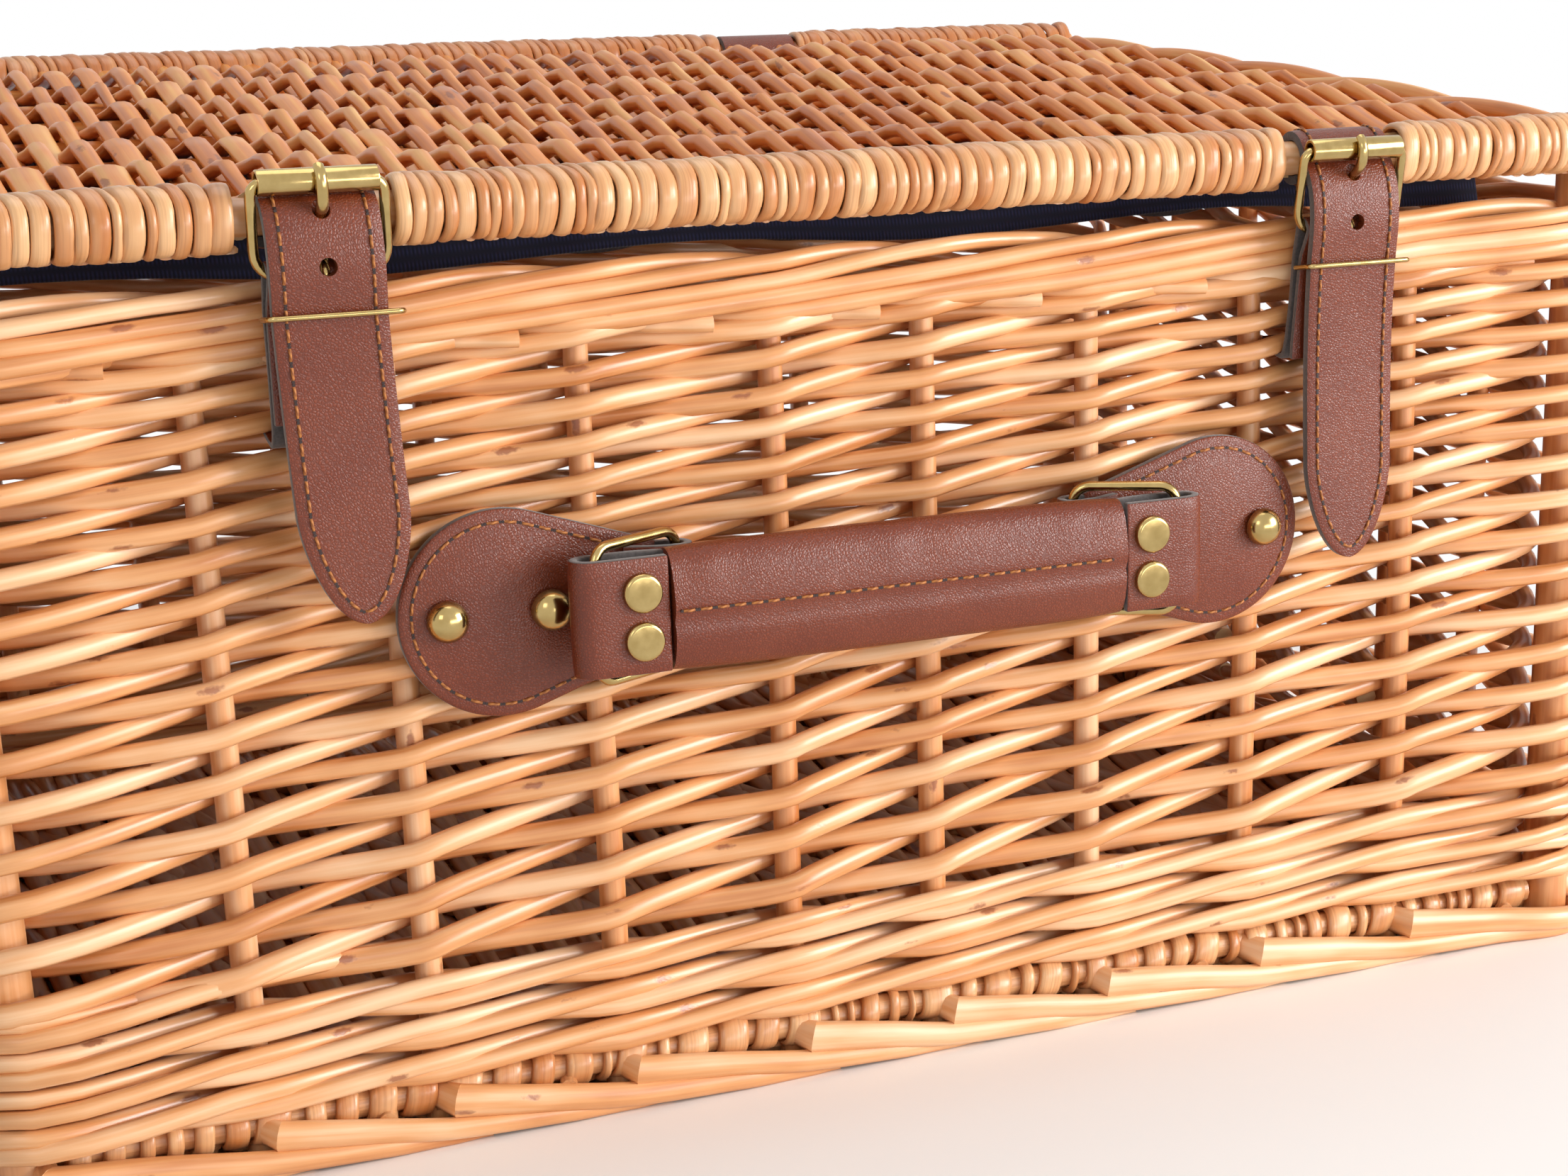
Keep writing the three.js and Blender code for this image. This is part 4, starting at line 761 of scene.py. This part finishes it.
def sew(name, line, out, body):
    """Sews a seam along a line on a strap's face: stitches that sink in at their ends, and needle holes as
    dark pegs of painted shade.
    """
    seam = new_bundle()
    length = run_length(line)
    stitch = np.array([-0.36, -0.26, 0, 0.26, 0.36]) * stitch_pitch
    sink = np.array([-0.45, 0.08, 0.24, 0.08, -0.45]) * MM
    for middle in np.arange(stitch_pitch * 0.5, length[-1] - stitch_pitch * 0.4, stitch_pitch):
        path = points_at(middle + stitch, length, line)
        face = unit(points_at(middle, length, out))
        grow(seam, path + face * sink[:, None], 0.33 * MM, chance.uniform(0, 1), face, oval(1, 1, 6))
        ahead = unit(path[-1] - path[0])
        # Each needle hole is a short dark peg: painted shade where the thread goes into the leather.
        for end in (path[0] - ahead * 0.25 * MM, path[-1] + ahead * 0.25 * MM):
            grow(seam, [end - face * 0.5 * MM, end + face * 0.1 * MM], 0.36 * MM, -1, ahead, oval(1, 1, 7))
    return add_rods(name, seam, thread, body)


def edge_seam(line, half, inset, thickness):
    """The line of a seam inside a strap's edge, down the right, round the tip and up the left, and the way
    the strap faces there. inset is its distance from the edge."""
    length = run_length(line)
    out = unit(np.cross(unit(np.gradient(line, axis=0)), across_x))
    turn = unit(np.stack([np.gradient(length), np.gradient(half)], 1))
    spot = length + inset * turn[:, 1]
    aside = half - inset * turn[:, 0]
    keep = (aside > 0) & (spot <= length[-1])
    place, facing = (points_at(spot[keep], length, rows) for rows in (line, out))
    right, left = (place + across_x * side * aside[keep, None] + facing * thickness / 2 for side in (1, -1))
    return np.concatenate([right, left[::-1]]), np.concatenate([facing, facing[::-1]])


stick_y, stick_z = stick_places["front"]
tongue_thickness = 2.4 * MM
to_front = (math.pi / 2, 0, 0)
heels, prong_holes = {}, {}
# From the stick each strap comes forward under its roller: millimetres behind and above the stick.
bulges = {"left": [(-4.2, 5.0), (-7.6, 3.2), (-9.6, -0.6), (-10.5, -6)],
          "right": [(-5.4, 1.4), (-6.0, -0.6), (-7.8, -2.6), (-9.8, -6.2), (-10.7, -11)]}
for side, lift, last_turn, askew in (("left", 2.5, 108, 2.6), ("right", -2.5, 160, 1.2)):
    strap = solid(f"tongue_{side}")
    x, tip_z = strap.middle[0], strap.low[2]
    heel_z = stick_z + (lift - 14) * MM
    heels[side] = np.array([x, stick_y - 5.9 * MM, heel_z])
    keeper_z = solid(f"keeper_{side}").middle[2]
    points = wrap_round(x, stick_y, stick_z, 5.5 * MM, np.arange(-115, last_turn, 12))
    points += [(x, stick_y + y * MM, stick_z + z * MM) for y, z in bulges[side]]
    drop = [(-10.8, heel_z + 1 * MM), (-9.5, keeper_z), (-8.3, keeper_z - 16.5 * MM),
            (-8.2, (keeper_z - lift * MM + tip_z) / 2), (-9.2, tip_z)]
    points += [(x, stick_y + y * MM, z) for y, z in drop]
    line = smooth_line(points, 130, crowd=1.35)
    # Below the keeper the strap hangs a little askew.
    line[:, 0] += askew * MM * np.clip((keeper_z - line[:, 2]) / (keeper_z - tip_z), 0, 1)
    length = run_length(line)
    close = np.clip((length[-1] - length) / (24 * MM), 0, 1)
    half = strap.half[0] * np.maximum(np.sqrt(1 - (1 - close) ** 1.7) * (0.96 + 0.04 * close), 0.02)
    tongue = add_strap(f"strap_tongue_{side}", line, across_x, half, tongue_thickness, None,
                       [f"tongue_{side}"], columns=12, crown=0.35 * MM)
    # The prong goes through the upper hole. The line's first 40 points are in the fold round the stick.
    hanging = line[40:]
    for hole_z in (heel_z + 2.1 * MM, heel_z + 13.6 * MM):
        prong_holes[side] = np.array([x, np.interp(-hole_z, -hanging[:, 2], hanging[:, 1]), hole_z])
        punch = new_shape(bpy.ops.mesh.primitive_cylinder_add, "punch", vertices=20, radius=1.9 * MM,
                          depth=6 * MM, rotation=to_front, location=prong_holes[side])
        apply_modifier(tongue, "punched_hole", "BOOLEAN", object=punch, solver="EXACT")
        bpy.data.objects.remove(punch)
    round_edges(tongue, 0.35 * MM)
    seam, facing = edge_seam(line, half, 2.7 * MM, tongue_thickness)
    stitches = sew(f"tongue_stitches_{side}", seam, facing, None)
    # The strap is limp. The strap and its stitches get their places put into their meshes.
    for piece in (tongue, stitches):
        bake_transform(piece)

# Roller buckles. A bent wire frame stands in the buckle strap's fold, with a roller of rolled sheet on top.
# The prong is a flattened wire that hooks round the lower bar, comes out through the tongue's hole and rests
# on the roller. All are brass, plated and then rubbed.

# Cast and drawn brass with a thin antique plating: pale gold, softly polished, with faint drawing marks.
brass, add = new_material("brass_antique_plated")
place = add("TexCoord", output="Object")
# The dull spots are about 3 mm across.
dull = add("TexNoise", {"Vector": place, "Scale": 1 / (3 * MM), "Detail": 5})
metal = add("Mix", {0: dull, 6: "#A88C54", 7: "#C8AF78"}, 2, data_type="RGBA")
gloss = add("MapRange", [dull, 0.3, 0.7, 0.14, 0.24])
shader = add("BsdfPrincipled", {"Base Color": metal, "Metallic": 1, "Roughness": gloss})
add("OutputMaterial", [shader])


def rounded_loop(centre, first, second, half_first, half_second, upper, lower):
    """A closed loop of points: a rectangle in the plane of two directions, with its corners rounded."""
    points = []
    for turn, a, b, bend in ((0, 1, 1, upper), (90, -1, 1, upper), (180, -1, -1, lower), (270, 1, -1, lower)):
        for angle in np.radians(np.linspace(turn, turn + 90, 7)):
            points.append(centre + first * (a * (half_first - bend) + bend * math.cos(angle))
                          + second * (b * (half_second - bend) + bend * math.sin(angle)))
    line = []
    for here, there in zip(points, points[1:] + points[:1]):
        pieces = max(1, round(np.linalg.norm(there - here) / (3 * MM)))
        line += [here + (there - here) * k / pieces for k in range(pieces)]
    return np.array(line)


def add_wire(name, loop, radius, upward, sides, body, replaces):
    """Adds a closed loop of brass wire."""
    bundle = new_bundle()
    grow(bundle, loop, radius, 0.5, upward, oval(1, 1, sides), closed=True)
    add_rods(name, bundle, brass, body, [replaces])


for side in ("left", "right"):
    heel = heels[side]
    roller_at = solid(f"buckle_roller_{side}").middle
    up = unit(roller_at - heel)
    out = np.cross(across_x, up)
    height = np.linalg.norm(roller_at - heel)
    loop = rounded_loop((heel + roller_at) / 2, across_x, up, 13.8 * MM, height / 2,
                        upper=3 * MM, lower=5.2 * MM)
    add_wire(f"buckle_wire_{side}", loop, 1.15 * MM, out, 14, f"{side}_buckle", f"buckle_frame_{side}")

    roller = new_shape(bpy.ops.mesh.primitive_cylinder_add, f"buckle_tube_{side}", vertices=32,
                       radius=2.7 * MM, depth=25 * MM, end_fill_type="NOTHING",
                       location=roller_at, rotation=(0, math.pi / 2, 0))
    apply_modifier(roller, "sheet_wall", "SOLIDIFY", thickness=0.85 * MM, offset=-1)
    apply_modifier(roller, "rolled_ends", "BEVEL", width=0.3 * MM, segments=2, limit_method="ANGLE")
    bpy.ops.object.shade_smooth_by_angle(angle=math.radians(40))
    settle(roller, [brass], f"{side}_roller", [f"buckle_roller_{side}"])

    bundle = new_bundle()
    eye = [heel + out * 2.75 * MM * math.cos(turn) + up * 2.75 * MM * math.sin(turn)
           for turn in np.linspace(0, 2 * math.pi, 25)[:-1]]
    grow(bundle, eye, 1.1 * MM, 0.5, across_x, closed=True)
    # The pin's way up the frame and out from it: behind the tongue, through its hole, then over the roller.
    hole = prong_holes[side] - heel
    hole_up, hole_out, tall = hole @ up / MM, hole @ out / MM, height / MM
    way = [(2.2, 0.8), (8.5, 0), (hole_up - 1.4, hole_out - 1.6), (hole_up + 0.8, hole_out + 1),
           (tall - 2.6, 4.1), (tall - 0.4, 4.2), (tall + 1.6, 3.9), (tall + 3.0, 2.7), (tall + 3.4, 1.9)]
    line = smooth_line([heel + up * a * MM + out * b * MM for a, b in way], 40)
    taper = np.interp(np.arange(len(line)), [0, 30, 39], [1.2, 1.25, 1.05]) * MM
    grow(bundle, line, taper, 0.5, across_x, oval(0.9, 1.08, 12))
    add_rods(f"buckle_pin_{side}", bundle, brass, f"{side}_prong", [f"buckle_prong_{side}"])

# Buckle straps and keepers. A strap of thinner hide comes out of the wall, goes up, folds round the buckle's
# lower bar and hangs down in front, doubled. A thin wire keeper is held in the fold and clasps the tongue.
slot_z = rim_low - 15 * MM
back_leaf, front_leaf = front_y - 10.05 * MM, front_y - 12.95 * MM
for side, askew in (("left", 1.6), ("right", 3.2)):
    heel_y, heel_z = heels[side][1:]
    x = solid(f"buckle_strap_{side}").middle[0] - 0.5 * MM
    keeper = solid(f"keeper_{side}")
    keeper_z = keeper.middle[2]
    points = [(x, front_y + 2 * MM, slot_z), (x, back_leaf + 5 * MM, slot_z - 3 * MM),
              (x, back_leaf + 1 * MM, slot_z - 3 * MM), (x, back_leaf, slot_z + 8 * MM),
              (x, back_leaf, keeper_z), (x, back_leaf + 0.4 * MM, heel_z - 5 * MM)]
    points += wrap_round(x, heel_y, heel_z, 2.55 * MM, np.arange(0, 181, 20))
    points += [(x, front_leaf - 0.2 * MM, heel_z - 5 * MM), (x, front_leaf, keeper_z),
               (x, front_leaf + 0.6 * MM, heel_z - 31 * MM)]
    line = smooth_line(points, 90)
    # Both leaves hang askew below the buckle, their lower ends to the left.
    line[:, 0] -= askew * MM * np.clip((heel_z - 4 * MM - line[:, 2]) / (24 * MM), 0, 1)
    half = 11.4 * MM - 1.2 * MM * np.clip((heel_z - 8 * MM - line[:, 2]) / (20 * MM), 0, 1)
    fold = add_strap(f"buckle_fold_{side}", line, across_x, half, 1.4 * MM, "basket",
                     [f"buckle_strap_{side}"])
    round_edges(fold, 0.3 * MM)
    # The loop is loose on the strap, tips up in front and hangs out a little to the right.
    loop = rounded_loop(keeper.middle + across_x * MM, across_x, np.array([0, 1.0, -0.17]),
                        keeper.half[0] + 0.2 * MM, keeper.half[1] - 0.65 * MM, upper=1.6 * MM, lower=1.6 * MM)
    add_wire(f"keeper_wire_{side}", loop, 0.62 * MM, (0, 0, 1), 10, "basket", f"keeper_{side}")

# Handle plates. A round leather plate on each side of the front holds a ring of the handle in its neck, which
# is folded over. It is sewn round its edge and held by two domed rivets that pass through the weave.
grip = solid("handle_grip")
handle_y, plate_z = grip.middle[1:]
ring_y = front_y - 12.7 * MM
plate_back = front_y - 8.7 * MM
plate_radius, neck = 23.5 * MM, 12.7 * MM
shoulder_turn = math.radians(106)
# A domed rivet in rings, from its top to the end of its shank: how wide each is, and how far behind the foot
# of the dome. The dome's top stands half a millimetre in front of the solid's.
dome_radius, dome_rise, dome_foot, dome_sides = 4.7 * MM, 3.76 * MM, 3.29 * MM, 28
shank_radius, shank_length = 1.681 * MM, 22 * MM
fall = np.linspace(0, math.pi / 2, 8)[1:]
wide = np.append(dome_radius * np.sin(fall), [shank_radius, shank_radius])
deep = np.append(-dome_rise * np.cos(fall), [0, shank_length])
rings = [(w * x, d, w * z) for w, d in zip(wide, deep) for x, z in oval(1, 1, dome_sides)]
dome_points = np.array([(0, -dome_rise, 0)] + rings)
here = np.arange(1, len(dome_points)).reshape(-1, dome_sides)
after = np.roll(here, -1, 1)
tip = np.stack([0 * here[0], here[0], after[0]], 1)
sides = np.stack([here[:-1], here[1:], after[1:], after[:-1]], -1).reshape(-1, 4)
dome_faces = tip.tolist() + sides.tolist() + [here[-1, ::-1].tolist()]
for side, sign in (("left", -1), ("right", 1)):
    centre_x, pivot_x = sign * 90 * MM, sign * 50 * MM
    outline = [(centre_x + sign * plate_radius * math.cos(turn), plate_z + plate_radius * math.sin(turn))
               for turn in np.linspace(-shoulder_turn, shoulder_turn, 49)]
    shoulder_x, shoulder_rise = outline[-1][0], plate_radius * math.sin(shoulder_turn)
    neck_x = pivot_x + sign * 4 * MM
    shares = np.linspace(0, 1, 7)[1:]
    for edge, parts in ((1, shares), (-1, shares[::-1])):
        outline += [(shoulder_x + (neck_x - shoulder_x) * part,
                     plate_z + edge * (shoulder_rise * (1 - part) + neck * part)) for part in parts]
    plate = new_shape(bpy.ops.mesh.primitive_circle_add, f"handle_leaf_{side}", vertices=len(outline),
                      radius=plate_radius, fill_type="NGON", rotation=to_front, location=(0, 0, 0))
    for vertex, (px, pz) in zip(plate.data.vertices, outline):
        vertex.co = (px, plate_back, pz)
    bpy.ops.object.mode_set(mode="EDIT")
    bpy.ops.mesh.select_all(action="SELECT")
    bpy.ops.mesh.extrude_region_move(TRANSFORM_OT_translate={"value": (0, -1.9 * MM, 0)})
    # A rounded edge, a groove under the stitches and a low swell in the middle.
    for inset, step in ((1.2, -0.5), (1.6, 0.15), (2, -0.7)):
        bpy.ops.mesh.inset(thickness=inset * MM)
        bpy.ops.transform.translate(value=(0, step * MM, 0))
    bpy.ops.mesh.select_all(action="SELECT")
    bpy.ops.mesh.normals_make_consistent(inside=False)
    bpy.ops.object.mode_set(mode="OBJECT")
    for face in plate.data.polygons:
        face.material_index = 1 if abs(face.normal[1]) < 0.3 or face.normal[1] > 0.5 else 0
    settle(plate, [leather, suede], "basket", [f"handle_plate_{side}"])
    round_edges(plate, 0.3 * MM)

    points = [(pivot_x + sign * 9 * MM, plate_back - 1 * MM, plate_z), (neck_x, plate_back - 1 * MM, plate_z)]
    bend = 2.8 * MM
    for turn in np.radians(np.arange(90, 271, 18)):
        points.append((pivot_x + sign * bend * math.cos(turn), ring_y + bend * math.sin(turn), plate_z))
    points += [(pivot_x + sign * 5 * MM, ring_y - 2.3 * MM, plate_z),
               (pivot_x + sign * 12 * MM, plate_back - 3.4 * MM, plate_z)]
    line = smooth_line(points, 40)
    fold = add_strap(f"handle_neck_{side}", line, (0, 0, sign), neck * 0.98, 2 * MM, "basket")
    round_edges(fold, 0.3 * MM)

    # The seam leaves the end of the neck open.
    rim_line = np.roll(np.array(outline), len(shares), 0)
    ahead = unit(np.roll(rim_line, -1, 0) - np.roll(rim_line, 1, 0))
    inward = np.stack([-ahead[:, 1], ahead[:, 0]], 1) * sign
    seam = np.insert(rim_line + inward * 2.9 * MM, 1, plate_back - 2.35 * MM, 1)[2:-2]
    sew(f"plate_stitches_{side}", seam, np.broadcast_to((0, -1.0, 0), seam.shape), "basket")

    for where in ("outer", "inner"):
        node = f"dome_rivet_{side}_{where}"
        place = solid(node)
        seat = (place.middle[0], place.low[1] + dome_foot, place.middle[2])
        rivet = new_piece(f"dome_head_{side}_{where}", (dome_points + seat).tolist(), dome_faces)
        rivet.data.polygons.foreach_set("use_smooth", [True] * len(dome_faces))
        rivet.data.set_sharp_from_angle(angle=math.radians(50))
        settle(rivet, [brass], "basket", [node])

# Rings. Each is a brass wire bent to a rectangle, with one side in the plate's neck and one in the handle.
# It slants out from the plate, so that the handle stands clear of the wall.
splay = math.radians(25)
ring_half = 12.5 * MM
for side, sign in (("left", -1), ("right", 1)):
    reach = np.array([sign * math.cos(splay), -math.sin(splay), 0])
    pivot = np.array([sign * 50 * MM, ring_y, plate_z])
    loop = rounded_loop(pivot + reach * ring_half, reach, np.array([0, 0, 1.0]), ring_half,
                        solid(f"ring_{side}").half[2] - 1.5 * MM, upper=4 * MM, lower=4 * MM)
    add_wire(f"ring_wire_{side}", loop, 1.2 * MM, np.cross(reach, (0, 0, 1)), 14, f"{side}_ring",
             f"ring_{side}")

# Handle strap. A doubled strap goes through the padded grip and folds back round a ring at each end.
# Two flat-capped rivets close each fold. Its edges are left plain and show the dark middle of the hide.
strap = solid("handle_strap")
strap_end = strap.high[0] / MM
# Half the strap from above, in millimetres out from the grip's middle and behind it.
shape = [(50, 1.5), (57, 1.8), (62, 3.2), (69, 3.3), (74, 3.3), (76.6, 2.4), (strap_end - 1.2, 0),
         (76.6, -2.4), (74, -3.3), (69, -3.3), (63, -3.3), (57.1, -3.2)]
for side, sign, replaced in (("left", -1, ["handle_strap"]), ("right", 1, [])):
    line = smooth_line([(sign * x * MM, handle_y + y * MM, plate_z) for x, y in shape], 60)
    fold = add_strap(f"handle_fold_{side}", line, (0, 0, -sign), strap.half[2], 2.4 * MM, "handle", replaced,
                     crown=0.3 * MM)
    round_edges(fold, 0.4 * MM)
    for where in ("upper", "lower"):
        rivet = solid(f"cap_rivet_{side}_{where}")
        shank = new_shape(bpy.ops.mesh.primitive_cylinder_add, "shank", vertices=16, radius=1.5 * MM,
                          depth=2 * rivet.half[1] - 1 * MM, rotation=to_front, location=rivet.middle)
        cap_depth = handle_y - 2.5 * MM - rivet.low[1]
        cap_at = (rivet.middle[0], rivet.low[1] + cap_depth / 2, rivet.middle[2])
        cap = new_shape(bpy.ops.mesh.primitive_cylinder_add, f"cap_head_{side}_{where}", vertices=32,
                        radius=4.5 * MM, depth=cap_depth, rotation=to_front, location=cap_at)
        shank.select_set(True)
        bpy.ops.object.join()
        apply_modifier(cap, "pressed_rim", "BEVEL", width=0.9 * MM, segments=4, limit_method="ANGLE")
        bpy.ops.object.shade_smooth_by_angle(angle=math.radians(40))
        settle(cap, [brass], "handle", [f"cap_rivet_{side}_{where}"])

# Grip. A sleeve of hide is wrapped round padding on the handle strap and sewn along the middle of its face.
# It is firm, rounded above and below, and pulls in along the seam.
grip_half, grip_deep, grip_tall = grip.half
turn = oval(1, 1, 64)
bulge = np.sign(turn) * np.abs(turn) ** (0.85, 0.8) * (grip_deep, grip_tall) / MM
grip_x = np.linspace(-grip_half, grip_half, 70)
swell = 1 - 0.05 * (np.abs(grip_x) / grip_half) ** 6
bundle = new_bundle()
grip_path = np.linspace((-grip_half, handle_y, plate_z), (grip_half, handle_y, plate_z), len(grip_x))
grow(bundle, grip_path, swell * MM, 0.5, section=bulge)
sleeve = add_rods("grip_sleeve", bundle, leather, "handle", ["handle_grip"])
for vertex in sleeve.data.vertices:
    x, y, z = vertex.co
    above = (z - plate_z) / MM
    if y < handle_y:
        # The upper edge of the hide laps over the lower one, which is drawn in under it.
        lap = 1 / (1 + math.exp(-(above + 0.9) / 0.35))
        drawn_in = 0.95 * math.exp(-((above + 1.5) / 1.5) ** 2)
        vertex.co[1] += (drawn_in - 0.45 * lap * math.exp(-(above / 5) ** 2)) * MM
    crumple = math.sin(x * 300 + 2.2 * math.sin(x * 130)) * math.exp(-((above - 9.5) / 4) ** 2)
    ripple = math.sin(x * 210 + 1.3 * math.sin(x * 90)) * math.sin(above * 0.16)
    vertex.co[1] += (0.1 * ripple + 0.16 * crumple) * MM
    vertex.co[2] += 0.12 * crumple * MM
seam_y, seam_z = handle_y - grip_deep - 0.2 * MM, plate_z + 0.7 * MM
seam = np.linspace((-grip_half + 1 * MM, seam_y, seam_z), (grip_half - 1 * MM, seam_y, seam_z), 60)
sew("grip_stitches", seam, np.broadcast_to((0, -1.0, 0), seam.shape), "handle")

# Floor, light and camera. The hamper stands on a white studio floor under large soft lights.
# The camera stands to the left of the front and looks down on it.


def seen_rays(add):
    """Adds what tells the rays that reach the camera, straight, off metal or through glass, from the rest."""
    rays = add("LightPath").node.outputs
    seen = add("Math", [rays["Is Camera Ray"], rays["Is Glossy Ray"]], operation="MAXIMUM")
    return add("Math", [seen, rays["Is Transmission Ray"]], operation="MAXIMUM")


floor = new_shape(bpy.ops.mesh.primitive_plane_add, "studio_floor", size=12, location=(0, 0, 0))
paper, add = new_material("white_studio_paper")
shade = add("BsdfPrincipled", {"Base Color": "#F5F4F2", "Roughness": 0.9})
# The paper's shadow fades to plain white half a metre from the hamper.
spot = add("TexCoord", output="Object")
reach = add("VectorMath", [spot], "Value", operation="LENGTH")
far = add("MapRange", [reach, 0.26, 0.5], interpolation_type="SMOOTHSTEP")
fade = add("Math", [far, seen_rays(add)], operation="MULTIPLY")
white = add("Emission", {"Color": (1, 1, 1, 1), "Strength": 1})
add("OutputMaterial", [add("MixShader", [fade, shade, white])])
floor.data.materials.append(paper)

world = bpy.data.worlds.new("studio")
bpy.context.scene.world = world
world.use_nodes = True
world.node_tree.nodes.clear()
add = partial(add_node, world.node_tree)
power = add("MapRange", [seen_rays(add), 0, 1, 0.32, 1.0])
add("OutputWorld", [add("Background", {"Color": (1, 1, 1, 1), "Strength": power})])

# Each light box: its place, the spot it is pointed at, its width and height, and its watts.
for name, place, aim, size, watts in (
        ("key_light", (1.25, -1.1, 0.6), (0, 0, 0.1), (0.75, 0.75), 26),
        ("left_light", (-1.0, -1.2, 0.9), (0, 0, 0.1), (0.5, 0.5), 2.5),
        ("low_light", (0.45, -1.1, 0.2), (0.1, 0, 0.15), (0.9, 0.2), 3),
        ("top_light", (0.1, 0.2, 1.7), (0, 0, 0.1), (1.2, 1.2), 8)):
    lamp = bpy.data.lights.new(name, "AREA")
    lamp.shape = "RECTANGLE"
    lamp.size, lamp.size_y = size
    lamp.energy = watts
    light = bpy.data.objects.new(name, lamp)
    light.location = place
    light.rotation_euler = (Vector(aim) - light.location).to_track_quat("-Z", "Y").to_euler()
    bpy.context.scene.collection.objects.link(light)

camera_place = (-0.2843, -0.8222, 0.3031)
yaw, pitch, roll = math.radians(28.81), math.radians(20.23), math.radians(0.48)
look = np.array([math.sin(yaw) * math.cos(pitch), math.cos(yaw) * math.cos(pitch), -math.sin(pitch)])
level_right = np.array([math.cos(yaw), -math.sin(yaw), 0])
level_up = np.cross(level_right, look)
lens = bpy.data.cameras.new("photo_camera")
lens.sensor_width = 36
lens.lens = 72.5
lens.shift_x = -0.2572
lens.shift_y = 0.2181
camera = bpy.data.objects.new("photo_camera", lens)
turned = np.eye(4)
turned[:3, 0] = math.cos(roll) * level_right + math.sin(roll) * level_up
turned[:3, 1] = -math.sin(roll) * level_right + math.cos(roll) * level_up
turned[:3, 2] = -look
turned[:3, 3] = camera_place
camera.matrix_world = turned.T.tolist()
bpy.context.scene.collection.objects.link(camera)
bpy.context.scene.camera = camera
bpy.context.scene.view_settings.view_transform = "Standard"
